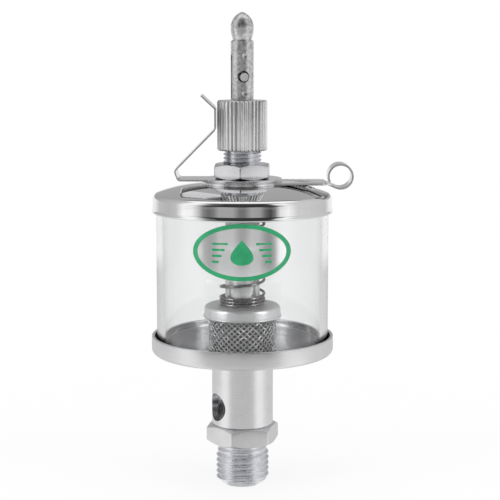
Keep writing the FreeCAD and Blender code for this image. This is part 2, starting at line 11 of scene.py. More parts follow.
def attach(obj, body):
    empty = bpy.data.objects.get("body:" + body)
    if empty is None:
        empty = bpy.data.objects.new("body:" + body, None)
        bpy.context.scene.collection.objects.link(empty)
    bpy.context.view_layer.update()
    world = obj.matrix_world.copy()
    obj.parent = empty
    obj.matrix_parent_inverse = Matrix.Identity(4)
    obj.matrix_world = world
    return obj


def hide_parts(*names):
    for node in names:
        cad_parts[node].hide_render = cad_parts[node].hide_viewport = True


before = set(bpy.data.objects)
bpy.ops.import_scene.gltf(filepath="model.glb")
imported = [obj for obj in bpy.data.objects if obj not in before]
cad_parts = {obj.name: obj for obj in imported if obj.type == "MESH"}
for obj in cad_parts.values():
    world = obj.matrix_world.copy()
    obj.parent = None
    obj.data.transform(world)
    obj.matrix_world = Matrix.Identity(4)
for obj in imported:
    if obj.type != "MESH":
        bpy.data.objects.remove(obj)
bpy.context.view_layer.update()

MM = 0.001
FULL = 2 * math.pi
ROUND_STEPS = 160
FINE_STEPS = 256
MEDIUM_STEPS = 192
NECK_STEPS = 144
STEM_STEPS = 128
HEX_STEPS = 720
DRILL_STEPS = 96
SMOOTH_ANGLE = math.radians(32)
BEVEL_ANGLE = math.radians(50)
WELD = 0.0005
NEARNESS = 0.02
FACING = 0.9
THREAD_FORM = 0.85
FOOT_ROWS = 20
STEM_ROWS = 16

# Screw foot, hexagon and sight neck
FOOT_RADIUS = 7.0
FOOT_LENGTH = 11.4
FOOT_PITCH = 1.5
FOOT_THREAD_DEPTH = 0.85
FOOT_END_CHAMFER = 1.7
RELIEF_RADIUS = 6.25
RELIEF_LENGTH = 1.1
RELIEF_SLOPE = 0.36
RUN_OUT = 0.4
NECK_GROOVE = 0.25
NECK_GROOVE_TOP = 0.12
NECK_EASE = 0.12
OVERLAP = 0.2
THREAD_OVERLAP = 0.3
OUTLET_RADIUS = 3.5
HEX_FLATS = 17.0
HEX_TOP = 5.0
HEX_TURN = 13.4
HEX_END_SHARE = 0.98
HEX_CHAMFER = 30
HEX_EDGE_ROWS = ((0.07, 0), (0.02, 0.03), (0, 0.1))
HEX_CORNER_ROUND = 0.06
END_RING = 0.4
FUNNEL_LOW = 2.2
FUNNEL_HIGH = 4.0
SIGHT_BORE = 6.5
NECK_RADIUS = 8.08
NECK_TOP = 24.2
PLUG_BOTTOM = 16.6
PLUG_BORE = 7.02
WINDOW_RADIUS = 3.65
WINDOW_HEIGHT = 10.0
WINDOW_TURN = 29.85

# Pan, glass and lid
PAN_RADIUS = 23.9
PAN_TOP = 29.0
PAN_SHEET = 0.8
PAN_CORNER = 1.4
PAN_RIM = 0.25
PAN_HOLE = 7.1
GLASS_RADIUS = 22.5
GLASS_INNER = 20.5
GLASS_BOTTOM = 27.5
GLASS_TOP = 64.6
GLASS_EASE = 0.25
LID_TOP = 68.9
LID_FLAT = 9.0
LID_CROWN = 38.9
LID_SHEET = 0.6
LID_WALL_LOW = (23.42, 62.7)
LID_WALL_LEAN = 1.5
LID_SKIRT = 23.7
LID_BOTTOM = 61.5
LID_ROLL = 0.32
LID_CORNER = 1.7
LID_FLARE = ((0.13, 0.5), (0.05, 0.25))
LID_INNER_FLARE = 0.09
LID_FOLD = 0.05
STEM_HOLE = 5.1
FILLER_X = 15.6
FILLER_RADIUS = 3.4
FILLER_DRILL = 12

# Stem, nut and knob
STEM_RADIUS = 5.0
STEM_PITCH = 1.0
STEM_THREAD_DEPTH = 0.5
STEM_TOP = 86.0
STEM_SPLIT = 72.0
STEM_CHAMFER = 0.5
STEM_BORE = 2.5
STEM_BORE_TOP = 75.8
SPRING_BORE = 3.7
SPRING_BORE_BOTTOM = 76.5
NUT_GAP = 0.02
NUT_FLATS = 14.0
NUT_BOTTOM = 70.25
NUT_TOP = 74.05
NUT_TURN = 26.4
KNOB_RADIUS = 6.5
KNOB_BOTTOM = 77.5
KNOB_TOP = 90.39
KNOB_CHAMFER = 0.35
KNOB_EDGE = 0.245
KNOB_LAND = 0.1
KNOB_RECESS = 4.0
KNOB_RECESS_EASE = 0.12
KNOB_RECESS_CORNER = 0.1
KNOB_RECESS_FLOOR = 89.7
KNOB_BORE = 5.05
KNOB_BORE_CHAMFER = 0.3
KNOB_NEEDLE_HOLE = 1.77
KNOB_HOLE_EASE = 0.05
KNOB_ROOF = 87.9
KNOB_SPRING_TOP = 86.5

# The knob's flutes: each wave is a height, a rate and a start, read at the flute's number
KNOB_FLUTES = 38
FLUTE_STEPS = 12
FLUTE_DEPTH = 0.27
FLUTE_DEPTH_WAVES = ((0.07, 7.3, 0), (0.04, 3.1, 1))
FLUTE_HALF_WIDTH = 0.31
FLUTE_WIDTH_WAVES = ((0.05, 5.7, 2),)
FLUTE_SHIFT_WAVES = ((0.03, 11.9, 0),)
FLUTE_END_SHARE = 0.9
# Depths under the knob's radius where the painted shade in the flutes starts, becomes full, and stops
FLUTE_LAND = 0.17
FLUTE_FLOOR = 0.34
FLUTE_REACH = 0.5

# Springs
COIL_RADIUS = 5.725
COIL_WIRE = 0.75
COIL_LOW = 37.0
COIL_HIGH = 68.3
COIL_TURNS = 7.5
COIL_LOW_TURNS = 2.3
COIL_START = 180
NEEDLE_COIL_RADIUS = 2.85
NEEDLE_COIL_WIRE = 0.6
NEEDLE_COIL_LOW = 80.9
NEEDLE_COIL_HIGH = 87.9
NEEDLE_COIL_TURNS = 5.0
END_TURNS = 1.25
COIL_GAP = 0.04
WIRE_SHARE = 0.99
COIL_STEPS = 44
COIL_SIDES = 12

# Lever's loose hole for the pin, and the reach from its axis of the painted shade on its walls
LEVER_TURN = 12
HOLE_HEIGHT = 96.47
HOLE_ASIDE = 0.24
HOLE_SHADE = 1.5

# Strainer gauze, a dark liner inside it as painted shade, and its cap; the gauze's wire is given by its
# radius
GAUZE_RADIUS = 8.66
GAUZE_LOW = 25.02
GAUZE_HIGH = 36.45
GAUZE_COUNT = 35
GAUZE_LEAN = 1.1
GAUZE_WIRE = 0.17
GAUZE_WEAVE = 0.11
GAUZE_STEPS = 5
GAUZE_SIDES = 8
LINER_RADIUS = 8.33
LINER_SHEET = 0.06
CAP_RADIUS = 10.05
CAP_BOTTOM = 33.8
CAP_TOP = 37.0
CAP_INNER = 9.55
CAP_SHEET = 0.5
CAP_LIP = 0.3
CAP_CORNER = 0.9
CAP_HOLE = 4.7
CAP_EASE = 0.06
CAP_FOLD = 0.4
CAP_TAPER = 0.05

# Plates under the nut
PLATE_RADIUS = 10.3
WASHER_LOW = 69.4
WASHER_HIGH = 69.85
PLATE_HOLE = 5.1
PLATE_EASE = 0.06
PLATE_GAP = 0.02

# Filler cover with its punched hollow, as radius and height over the cover's top, and leaf spring
COVER_TOP = 69.4
HOLLOW_PROFILE = (
    (0.02, -0.38), (1.2, -0.38), (1.35, -0.33), (2.0, -0.03), (2.2, 0.05), (2.2, 1.0), (0.02, 1.0),
)
HOLLOW_STEPS = 64
LEAF_EASE = 0.08

# Label
LABEL_HEIGHT = 53.9
LABEL_HALF_WIDTH = 12.13
LABEL_HALF_HEIGHT = 7.15
LABEL_RING = 1.12
LABEL_THICKNESS = 0.07
LABEL_MARGIN = 0.02
PRINT_LIFT = 0.012
PRINT_SHARES = (0.05, 0.25, 0.45, 0.65, 0.83, 1)
BAR_ROWS = 4
BAR_OUTER = 7.4
BAR_LOW = -2.7
BAR_GAP = 1.5
BAR_SHORT = 1.7
BAR_GROWTH = 0.75
BAR_THICKNESS = 0.62
DROP_LOW = -3.2
DROP_SIZE = 6.4
DROP_WIDTH = 0.62
DROP_POINT = 0.7

# Effects and finishes, with tones in linear light
NOISE_LOW = 0.3
NOISE_HIGH = 0.7
BLOTCH_SCALE = 260
BLOTCH_DETAIL = 2
CLOUD_DETAIL = 3
PIT_DETAIL = 2
CLOUD_SHARE = 0.65
GRAIN_DETAIL = 4
GLASS_TINT = (0.912, 0.916, 0.918, 1)
GLASS_INDEX = 1.47
INK_ROUGHNESS = 0.35
SEAL_SMOOTH = 0.4
SEAL_ROUGH = 0.55
# Painted shade on the walls of the lever's loose hole
HOLE_SHADE_TONE = (0.02, 0.02, 0.022)
# Painted shade in the bottoms of the knob's flutes
FLUTE_SHADE_TONE = (0.32, 0.32, 0.325)
# Painted shade on faces whose normal points further down than this, and its tone
UNDERSIDE = -0.9
UNDERSIDE_SHADE_TONE = (0.26, 0.26, 0.265)

# Studio cards, as grey levels at angles in degrees
SIDE_CARDS = [
    (-180, 0.42), (-150, 0.40), (-125, 0.50), (-105, 0.55), (-92, 0.62), (-80, 1.10), (-66, 1.05),
    (-57, 0.66), (-50, 0.28), (-43, 0.17), (-36, 0.22), (-29, 0.42), (-12, 0.42), (-3, 0.20),
    (3, 0.20), (12, 0.42), (22, 0.38), (29, 0.16), (36, 0.07), (42, 0.22), (49, 0.92), (60, 1.10),
    (74, 0.74), (100, 0.68), (135, 0.60), (150, 0.42), (180, 0.42),
]
FAR_CARDS = [(-180, 1.0), (-145, 1.0), (-130, 0.6)] + SIDE_CARDS[3:-3] + [
    (130, 0.6), (145, 1.0), (180, 1.0),
]
TABLE_CARDS = [
    (-180, 0.62), (-105, 0.72), (-85, 0.85), (-75, 1.05), (-55, 1.05), (-42, 0.62), (-20, 0.58),
    (20, 0.58), (40, 0.62), (52, 1.05), (75, 1.05), (88, 0.82), (105, 0.72), (180, 0.62),
]
TOP_CARDS = [
    (0, 0.08), (73, 0.08), (79, 1.15), (113, 1.15), (117, 0.03), (130, 0.03), (134, 0.28),
    (150, 0.34), (165, 0.42), (180, 0.45),
]
HORIZON = [(-90, 1), (2, 1), (6, 0), (90, 0)]
OVERHEAD = [(-90, 0), (46, 0), (56, 1), (90, 1)]
ARCH_FOOT = [(-90, 0), (8, 0), (11, 1), (90, 1)]
ARCH_TOP = [
    (-180, 0), (-105, 0), (-95, 0.18), (-58, 0.28), (-42, 0.55), (-28, 1), (30, 1), (44, 0.55),
    (58, 0.28), (95, 0.18), (105, 0), (180, 0),
]
ARCH_SOFTNESS = 7
ARCH_GREY = (0.04, 0.04, 0.04, 1)

# World, floor and camera
WHITE = (1, 1, 1, 1)
SOFT_LEVEL = 0.55
FLOOR_GAP = 0.02
FLOOR_HALF = 20000
FLOOR_PAINT = (0.95, 0.95, 0.95, 1)
FLOOR_GLOSS = 0.85
SHADOW_SHARE = 0.86
CAMERA_PLACE = (2.0, -363.2, 104.3)
CAMERA_DOWN = 8.3
CAMERA_LENS = 100.8
CAMERA_SENSOR = 36

# Reaches and lamps, in metres: each lamp's name, place, size and power
TABLE_END = (0.36, 0.43)
SHADOW_REACH = (0.03, 0.20)
CAMERA_CLIP = (0.01, 20)
LAMP_AIM = (0, 0, 0.05)
SOFTBOXES = [
    ("left softbox", (-0.75, -0.42, 0.30), (0.35, 0.8), 3.2),
    ("right softbox", (0.75, -0.42, 0.30), (0.35, 0.8), 3.0),
    ("top softbox", (0.0, -0.15, 0.95), (0.7, 0.7), 2.7),
]


# Meshes

def make_mesh(name, points, faces):
    """Mesh object from points in millimetres."""
    mesh = bpy.data.meshes.new(name)
    mesh.from_pydata([(x * MM, y * MM, z * MM) for x, y, z in points], [], faces)
    mesh.validate()
    piece = bpy.data.objects.new(name, mesh)
    bpy.context.scene.collection.objects.link(piece)
    soften(piece)
    return piece


def soften(piece):
    """Smooth shading that keeps the edges sharper than the limit angle."""
    mesh = piece.data
    mesh.polygons.foreach_set("use_smooth", [True] * len(mesh.polygons))
    mesh.set_sharp_from_angle(angle=SMOOTH_ANGLE)
    mesh.update()


def polar(radius, angle, height):
    """Point at a radius and angle about the Z axis."""
    return (radius * math.cos(angle), radius * math.sin(angle), height)


def arc(centre_r, centre_z, radius, start, stop, steps=8):
    """Profile points along an arc, with its angles in degrees."""
    found = []
    for i in range(steps + 1):
        angle = math.radians(start + (stop - start) * i / steps)
        found.append((centre_r + radius * math.cos(angle), centre_z + radius * math.sin(angle)))
    return found


def ring_faces(rows, steps):
    """Quads that join rows of points round the Z axis, and the last row to the first."""
    faces = []
    for row in range(rows):
        low = row * steps
        high = (row + 1) % rows * steps
        for i in range(steps):
            j = (i + 1) % steps
            faces.append((low + i, low + j, high + j, high + i))
    return faces


def lathe(name, profile, steps=ROUND_STEPS):
    """Turned piece from a closed profile of (radius, height), listed outside first, going up."""
    points = []
    for radius, height in profile:
        points += [polar(radius, FULL * i / steps, height) for i in range(steps)]
    return make_mesh(name, points, ring_faces(len(profile), steps))


def surface_of(name, steps, rows):
    """Closed piece from rows, each a function of the angle that gives (radius, height)."""
    points = []
    for row in rows:
        for i in range(steps):
            angle = FULL * i / steps
            radius, height = row(angle)
            points.append(polar(radius, angle, height))
    return make_mesh(name, points, ring_faces(len(rows), steps))


def joined(name, pieces):
    """One object from several."""
    bpy.ops.object.select_all(action="DESELECT")
    for piece in pieces:
        piece.select_set(True)
    bpy.context.view_layer.objects.active = pieces[0]
    bpy.ops.object.join()
    pieces[0].name = name
    pieces[0].data.name = name
    return pieces[0]


def drilled(piece, drills):
    """The piece with each drill's shape cut away."""
    for drill in drills:
        cut = piece.modifiers.new("cut", "BOOLEAN")
        cut.operation = "DIFFERENCE"
        cut.solver = "EXACT"
        cut.object = drill
    graph = bpy.context.evaluated_depsgraph_get()
    mesh = bpy.data.meshes.new_from_object(piece.evaluated_get(graph))
    piece.modifiers.clear()
    piece.data = mesh
    for drill in drills:
        bpy.data.objects.remove(drill)
    soften(piece)
    return piece


def drill_bit(radius, length, centre, direction):
    """Round bar through a centre point, used only to cut."""
    turn = Vector((0, 0, 1)).rotation_difference(Vector(direction)).to_matrix()
    steps = DRILL_STEPS
    points = []
    for end in (-length / 2, length / 2):
        for i in range(steps):
            spot = turn @ Vector(polar(radius, FULL * i / steps, end))
            points.append(tuple(spot + Vector(centre)))
    faces = [(i, (i + 1) % steps, steps + (i + 1) % steps, steps + i) for i in range(steps)]
    faces += [tuple(reversed(range(steps))), tuple(range(steps, 2 * steps))]
    return make_mesh("drill", points, faces)


def round_normals(piece, surfaces):
    """Exact normals on the turned surfaces, given as (radius, sign) with the sign of the way out."""
    mesh = piece.data
    normals = []
    for polygon in mesh.polygons:
        for loop in polygon.loop_indices:
            spot = mesh.vertices[mesh.loops[loop].vertex_index].co
            radial = Vector((spot.x, spot.y, 0))
            normal = mesh.corner_normals[loop].vector.copy()
            for radius, sign in surfaces:
                near = abs(radial.length - radius * MM) < NEARNESS * MM
                if near and polygon.normal.dot(radial.normalized() * sign) > FACING:
                    normal = radial.normalized() * sign
            normals.append(normal)
    mesh.normals_split_custom_set(normals)


def thread_groove(angle, height, pitch, depth):
    """Depth of a right-hand thread's groove at a point, with rounded crests and roots."""
    phase = (height / pitch - angle / FULL) % 1
    return depth * (0.5 - 0.5 * math.cos(FULL * phase)) ** THREAD_FORM


def threaded_rows(radius, low, high, pitch, depth, envelope, per_pitch):
    """Rows going up over a threaded surface that stays inside an envelope radius."""
    count = math.ceil((high - low) / pitch * per_pitch)
    rows = []
    for k in range(count + 1):
        height = low + (high - low) * k / count

        def row(angle, height=height):
            groove = thread_groove(angle, height, pitch, depth)
            return (min(radius - groove, envelope(height) - RUN_OUT * groove), height)

        rows.append(row)
    return rows


def fixed(radius, height):
    """A plain round row."""
    return lambda angle: (radius, height)


def hex_radius(angle, flats, turn):
    """Radius of a hexagon at an angle, with slightly rounded corners."""
    side = FULL / 6
    local = (angle - math.radians(turn)) % side - side / 2
    straight = flats / 2 / math.cos(local)
    corner = flats / 2 / math.cos(side / 2)
    return min(straight, corner - HEX_CORNER_ROUND)


def hexagon(name, flats, low, high, turn, inner, top_radius=None):
    """Hexagonal nut or head, chamfered at both ends, with an inner profile listed going up."""
    low_radius = flats / 2 * HEX_END_SHARE
    high_radius = top_radius or low_radius
    slope = math.tan(math.radians(HEX_CHAMFER))

    def edges(end, end_radius, way):
        """Three rows that round the chamfer's edge at one end."""
        found = []
        for inset, shift in HEX_EDGE_ROWS:
            def row(angle, inset=inset, shift=shift):
                reach = hex_radius(angle, flats, turn) - inset
                return (reach, end + way * (max(0, reach - end_radius) * slope + shift))
            found.append(row)
        return found

    rows = [fixed(low_radius - END_RING, low), fixed(low_radius, low)]
    rows += edges(low, low_radius, 1)
    rows += reversed(edges(high, high_radius, -1))
    rows += [fixed(high_radius, high), fixed(high_radius - END_RING, high)]
    rows += [fixed(radius, height) for radius, height in reversed(inner)]
    return surface_of(name, HEX_STEPS, rows)


def wire_along(points, radius, sides):
    """Points and faces of a round wire along a line, closed at both ends."""
    made, faces = [], []
    count = len(points)
    side = None
    for i, spot in enumerate(points):
        before = points[max(0, i - 1)]
        after = points[min(count - 1, i + 1)]
        along = (after - before).normalized()
        if side is None:
            side = along.cross(Vector((0, 0, 1)))
        side = (side - along * side.dot(along)).normalized()
        up = side.cross(along)
        for k in range(sides):
            angle = FULL * (k + 0.5) / sides
            made.append(tuple(spot + (side * math.cos(angle) + up * math.sin(angle)) * radius))
    for i in range(count - 1):
        for k in range(sides):
            j = (k + 1) % sides
            faces.append((i * sides + k, (i + 1) * sides + k, (i + 1) * sides + j, i * sides + j))
    faces.append(tuple(range(sides)))
    faces.append(tuple((count - 1) * sides + k for k in reversed(range(sides))))
    return made, faces


def coil(name, radius, wire, low, high, turns, low_turns=END_TURNS, start=0):
    """Compression spring of round wire, closed at both ends, from a start angle in degrees."""
    base = low + wire / 2 + COIL_GAP
    reach = high - low - wire - 2 * COIL_GAP
    closed_rise = wire + COIL_GAP
    total = turns + low_turns + END_TURNS
    count = round(total * COIL_STEPS)
    line = []
    for i in range(count + 1):
        done = total * i / count
        ends = min(done, low_turns) + max(0, done - low_turns - turns)
        active = (reach - closed_rise * (low_turns + END_TURNS)) * (done - ends) / turns
        angle = math.radians(start) + FULL * done
        line.append(Vector(polar(radius, angle, base + closed_rise * ends + active)))
    points, faces = wire_along(line, wire / 2 * WIRE_SHARE, COIL_SIDES)
    return make_mesh(name, points, faces)


def gauze(name):
    """Two families of slanted wires, woven over and under each other round the strainer."""
    height = GAUZE_HIGH - GAUZE_LOW
    pitch = FULL / GAUZE_COUNT
    turned = GAUZE_LEAN * height / GAUZE_RADIUS
    crossings = turned / (pitch / 2)
    steps = math.ceil(crossings * GAUZE_STEPS)
    points, faces = [], []
    for hand in (1, -1):
        for wire in range(GAUZE_COUNT):
            line = []
            for i in range(steps + 1):
                done = i / steps
                angle = wire * pitch + hand * turned * done
                lift = hand * math.cos(math.pi * (crossings * done + wire)) * GAUZE_WEAVE
                line.append(Vector(polar(GAUZE_RADIUS + lift, angle, GAUZE_LOW + height * done)))
            made, more = wire_along(line, GAUZE_WIRE, GAUZE_SIDES)
            first = len(points)
            points += made
            faces += [tuple(first + k for k in face) for face in more]
    return make_mesh(name, points, faces)


def shade_liner(name):
    """Dark sheet inside the gauze that stands in for the shade within the strainer."""
    inner = LINER_RADIUS - LINER_SHEET
    return lathe(name, [
        (LINER_RADIUS, GAUZE_LOW),
        (LINER_RADIUS, GAUZE_HIGH),
        (inner, GAUZE_HIGH),
        (inner, GAUZE_LOW),
    ])


def wave(number, terms):
    """Sum of sines of a number, each term a height, a rate and a start."""
    return sum(height * math.sin(rate * number + start) for height, rate, start in terms)


def flute_depth(angle):
    """Depth of the knob's flutes at an angle, each cut a little differently."""
    turned = angle * KNOB_FLUTES / FULL
    number = round(turned) % KNOB_FLUTES
    depth = FLUTE_DEPTH + wave(number, FLUTE_DEPTH_WAVES)
    half_width = FLUTE_HALF_WIDTH + wave(number, FLUTE_WIDTH_WAVES)
    offset = turned - round(turned) + wave(number, FLUTE_SHIFT_WAVES)
    across = min(1, abs(offset) / half_width)
    return depth * math.sqrt(1 - across ** 2)


def fluted_knob(name):
    """Knob with roughly cut flutes, chamfered ends, a recess on top and a bore."""
    def row(radius, height, share=1):
        return lambda angle: (radius - flute_depth(angle) * share, height)

    inner = KNOB_RADIUS - KNOB_CHAMFER
    shoulder = KNOB_CHAMFER + KNOB_LAND
    rows = [
        fixed(KNOB_BORE + KNOB_BORE_CHAMFER, KNOB_BOTTOM),
        fixed(inner - KNOB_CHAMFER, KNOB_BOTTOM),
        row(inner, KNOB_BOTTOM, FLUTE_END_SHARE),
        row(KNOB_RADIUS - KNOB_LAND, KNOB_BOTTOM + KNOB_EDGE),
        row(KNOB_RADIUS, KNOB_BOTTOM + shoulder),
        row(KNOB_RADIUS, (KNOB_BOTTOM + KNOB_TOP) / 2),
        row(KNOB_RADIUS, KNOB_TOP - shoulder),
        row(KNOB_RADIUS - KNOB_LAND, KNOB_TOP - KNOB_EDGE),
        row(inner, KNOB_TOP, FLUTE_END_SHARE),
        fixed(inner - KNOB_CHAMFER, KNOB_TOP),
        fixed(KNOB_RECESS + KNOB_RECESS_EASE, KNOB_TOP),
        fixed(KNOB_RECESS, KNOB_TOP - KNOB_RECESS_EASE),
        fixed(KNOB_RECESS, KNOB_RECESS_FLOOR + KNOB_RECESS_CORNER),
        fixed(KNOB_RECESS - KNOB_RECESS_CORNER, KNOB_RECESS_FLOOR),
        fixed(KNOB_NEEDLE_HOLE + KNOB_HOLE_EASE, KNOB_RECESS_FLOOR),
        fixed(KNOB_NEEDLE_HOLE, KNOB_RECESS_FLOOR - KNOB_HOLE_EASE),
        fixed(KNOB_NEEDLE_HOLE, KNOB_ROOF),
        fixed(SPRING_BORE, KNOB_ROOF),
        fixed(SPRING_BORE, KNOB_SPRING_TOP),
        fixed(KNOB_BORE, KNOB_SPRING_TOP),
        fixed(KNOB_BORE, KNOB_BOTTOM + KNOB_BORE_CHAMFER),
    ]
    return surface_of(name, KNOB_FLUTES * FLUTE_STEPS, rows)


def sight_foot(neck_metal, hex_metal, thread_metal):
    """Screw foot, hexagon and neck, as one turned piece."""
    def envelope(height):
        """Radius that the thread stays inside."""
        near_end = FOOT_RADIUS - FOOT_END_CHAMFER + (height + FOOT_LENGTH)
        near_hex = RELIEF_RADIUS + max(0, -height - RELIEF_LENGTH) * RELIEF_SLOPE
        return min(FOOT_RADIUS, near_end, near_hex)

    rows = threaded_rows(
        FOOT_RADIUS, -FOOT_LENGTH, THREAD_OVERLAP, FOOT_PITCH, FOOT_THREAD_DEPTH, envelope, FOOT_ROWS
    )
    rows += [fixed(OUTLET_RADIUS, THREAD_OVERLAP), fixed(OUTLET_RADIUS, -FOOT_LENGTH)]
    foot = surface_of("foot", ROUND_STEPS, rows)
    head = hexagon("head", HEX_FLATS, 0, HEX_TOP, HEX_TURN, [
        (OUTLET_RADIUS, 0),
        (OUTLET_RADIUS, FUNNEL_LOW),
        (SIGHT_BORE, FUNNEL_HIGH),
        (SIGHT_BORE, HEX_TOP),
    ], NECK_RADIUS)
    neck = lathe("neck", [
        (NECK_RADIUS - NECK_GROOVE, HEX_TOP - OVERLAP),
        (NECK_RADIUS - NECK_GROOVE, HEX_TOP + NECK_GROOVE_TOP),
        (NECK_RADIUS, HEX_TOP + OVERLAP),
        (NECK_RADIUS, WINDOW_HEIGHT),
        (NECK_RADIUS, NECK_TOP - NECK_EASE),
        (NECK_RADIUS - NECK_EASE, NECK_TOP),
        (PLUG_BORE, NECK_TOP),
        (PLUG_BORE, PLUG_BOTTOM),
        (SIGHT_BORE, PLUG_BOTTOM),
        (SIGHT_BORE, HEX_TOP - OVERLAP),
    ], NECK_STEPS)
    aim = math.radians(WINDOW_TURN)
    bit = drill_bit(
        WINDOW_RADIUS, 4 * NECK_RADIUS, (0, 0, WINDOW_HEIGHT), (math.cos(aim), math.sin(aim), 0)
    )
    drilled(neck, [bit])
    round_normals(neck, [(NECK_RADIUS, 1), (SIGHT_BORE, -1)])
    for piece, material in ((neck, neck_metal), (head, hex_metal), (foot, thread_metal)):
        finish_with(piece, material)
    return joined("sight_foot", [neck, head, foot])


def drip_pan(outer_metal, inner_metal):
    """Drawn pan with rounded corners and a lightly rounded rim, more polished inside, where its colour is
    also darkened as painted shade.
    """
    inner = PAN_RADIUS - PAN_SHEET
    floor = NECK_TOP + PAN_SHEET
    corner = PAN_CORNER
    small = PAN_CORNER - PAN_SHEET
    profile = arc(PAN_RADIUS - corner, NECK_TOP + corner, corner, -90, 0)
    profile += arc(PAN_RADIUS - PAN_RIM, PAN_TOP - PAN_RIM, PAN_RIM, 0, 90, steps=4)
    profile += arc(inner + PAN_RIM, PAN_TOP - PAN_RIM, PAN_RIM, 90, 180, steps=4)
    profile += arc(inner - small, floor + small, small, 0, -90, steps=6)
    profile += [(PAN_HOLE, floor), (PAN_HOLE, NECK_TOP)]
    pan = lathe("drip_pan", profile, FINE_STEPS)
    finish_with(pan, outer_metal)
    pan.data.materials.append(inner_metal)
    for polygon in pan.data.polygons:
        reach = math.hypot(polygon.center.x, polygon.center.y)
        inside = reach < (inner + NEARNESS) * MM
        if inside and polygon.center.z > (floor - NEARNESS) * MM:
            polygon.material_index = 1
    return pan


def glass_wall():
    """Plain glass cylinder with eased rims."""
    ease = GLASS_EASE
    return lathe("glass_wall", [
        (GLASS_INNER + ease, GLASS_BOTTOM),
        (GLASS_RADIUS - ease, GLASS_BOTTOM),
        (GLASS_RADIUS, GLASS_BOTTOM + ease),
        (GLASS_RADIUS, GLASS_TOP - ease),
        (GLASS_RADIUS - ease, GLASS_TOP),
        (GLASS_INNER + ease, GLASS_TOP),
        (GLASS_INNER, GLASS_TOP - ease),
        (GLASS_INNER, GLASS_BOTTOM + ease),
    ], FINE_STEPS)


def lid_side(depth):
    """Profile of the lid's wall, corner and crown, at a depth under the outside."""
    lean = math.radians(LID_WALL_LEAN)
    side = Vector((math.cos(lean), math.sin(lean)))
    along = Vector((-side.y, side.x))
    middle = Vector((LID_FLAT, LID_TOP - LID_CROWN))
    low = Vector(LID_WALL_LOW) - side * depth
    corner = LID_CORNER - depth
    crown = LID_CROWN - depth
    # The corner's centre is a corner radius inside both the crown and the leaning wall.
    offset = (low - middle).dot(side) - corner
    slide = math.sqrt((crown - corner) ** 2 - offset ** 2)
    centre = middle + side * offset + along * slide
    stop = math.degrees(math.atan2(centre.y - middle.y, centre.x - middle.x))
    profile = arc(centre.x, centre.y, corner, LID_WALL_LEAN, stop, steps=14)
    profile += arc(middle.x, middle.y, crown, stop, 90, steps=28)[1:]
    return profile


def domed_lid():
    """Pressed lid with a rolled foot, a crown, the stem hole and the filler hole."""
    roll = LID_SKIRT - LID_ROLL
    foot = LID_BOTTOM + LID_ROLL
    wall_r, wall_z = LID_WALL_LOW
    profile = arc(roll, foot, LID_ROLL, -180, 30, steps=12)
    profile += [(wall_r + out, wall_z - down) for out, down in LID_FLARE]
    profile += [(wall_r, wall_z)]
    profile += lid_side(0)
    profile += [(STEM_HOLE, LID_TOP), (STEM_HOLE, LID_TOP - LID_SHEET)]
    profile += list(reversed(lid_side(LID_SHEET)))
    profile += [
        (wall_r - LID_SHEET, wall_z),
        (wall_r - LID_SHEET + LID_INNER_FLARE, foot + LID_FOLD),
    ]
    lid = lathe("domed_lid", profile, FINE_STEPS)
    bit = drill_bit(FILLER_RADIUS, FILLER_DRILL, (FILLER_X, 0, LID_TOP), (0, 0, 1))
    return drilled(lid, [bit])


def strainer_cap():
    """Drawn cap over the strainer, with a rounded shoulder and a rolled lip."""
    inner_top = CAP_TOP - CAP_SHEET
    profile = arc(CAP_RADIUS - CAP_TAPER, CAP_BOTTOM + CAP_LIP, CAP_LIP, -150, 80, steps=10)
    profile += [(CAP_RADIUS, CAP_BOTTOM + 3 * CAP_LIP)]
    profile += arc(CAP_RADIUS - CAP_CORNER, CAP_TOP - CAP_CORNER, CAP_CORNER, 0, 90, steps=8)
    profile += [
        (CAP_HOLE + CAP_EASE, CAP_TOP),
        (CAP_HOLE, CAP_TOP - CAP_EASE),
        (CAP_HOLE, inner_top),
        (CAP_INNER - CAP_FOLD, inner_top),
        (CAP_INNER, inner_top - CAP_FOLD),
    ]
    return lathe("strainer_top", profile, MEDIUM_STEPS)


def plate_washer():
    """Two thin washers under the leaf spring, with eased edges."""
    ease = PLATE_EASE
    middle = (WASHER_LOW + WASHER_HIGH) / 2
    profile = [(PLATE_HOLE, WASHER_LOW)]
    for low, high in ((WASHER_LOW, middle - PLATE_GAP), (middle + PLATE_GAP, WASHER_HIGH)):
        profile += [
            (PLATE_RADIUS - 4 * ease, low),
            (PLATE_RADIUS - ease, low),
            (PLATE_RADIUS, low + ease),
            (PLATE_RADIUS, high - ease),
            (PLATE_RADIUS - ease, high),
            (PLATE_RADIUS - 4 * ease, high),
        ]
    profile += [(PLATE_HOLE, WASHER_HIGH)]
    return lathe("plate_washer", profile, MEDIUM_STEPS)


def hollowed_cover():
    """Filler cover as the frame has it, with the punched hollow sunk deeper."""
    cover = copied("hollowed_cover", "filler_cover")
    profile = [(radius, COVER_TOP + height) for radius, height in HOLLOW_PROFILE]
    punch = lathe("punch", profile, HOLLOW_STEPS)
    punch.data.transform(Matrix.Translation((FILLER_X * MM, 0, 0)))
    return drilled(cover, [punch])


def copied(name, node_name):
    """Copy of a frame node with its doubled points merged."""
    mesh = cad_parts[node_name].data.copy()
    piece = bpy.data.objects.new(name, mesh)
    bpy.context.scene.collection.objects.link(piece)
    work = bmesh.new()
    work.from_mesh(mesh)
    bmesh.ops.remove_doubles(work, verts=work.verts, dist=WELD * MM)
    work.to_mesh(mesh)
    work.free()
    return piece


def ease_edges(piece, width):
    """Small rounding along the sharp edges."""
    weld = piece.modifiers.new("weld", "WELD")
    weld.merge_threshold = WELD * MM
    bevel = piece.modifiers.new("edges", "BEVEL")
    bevel.width = width * MM
    bevel.segments = 2
    bevel.limit_method = "ANGLE"
    bevel.angle_limit = BEVEL_ANGLE
    bevel.harden_normals = True


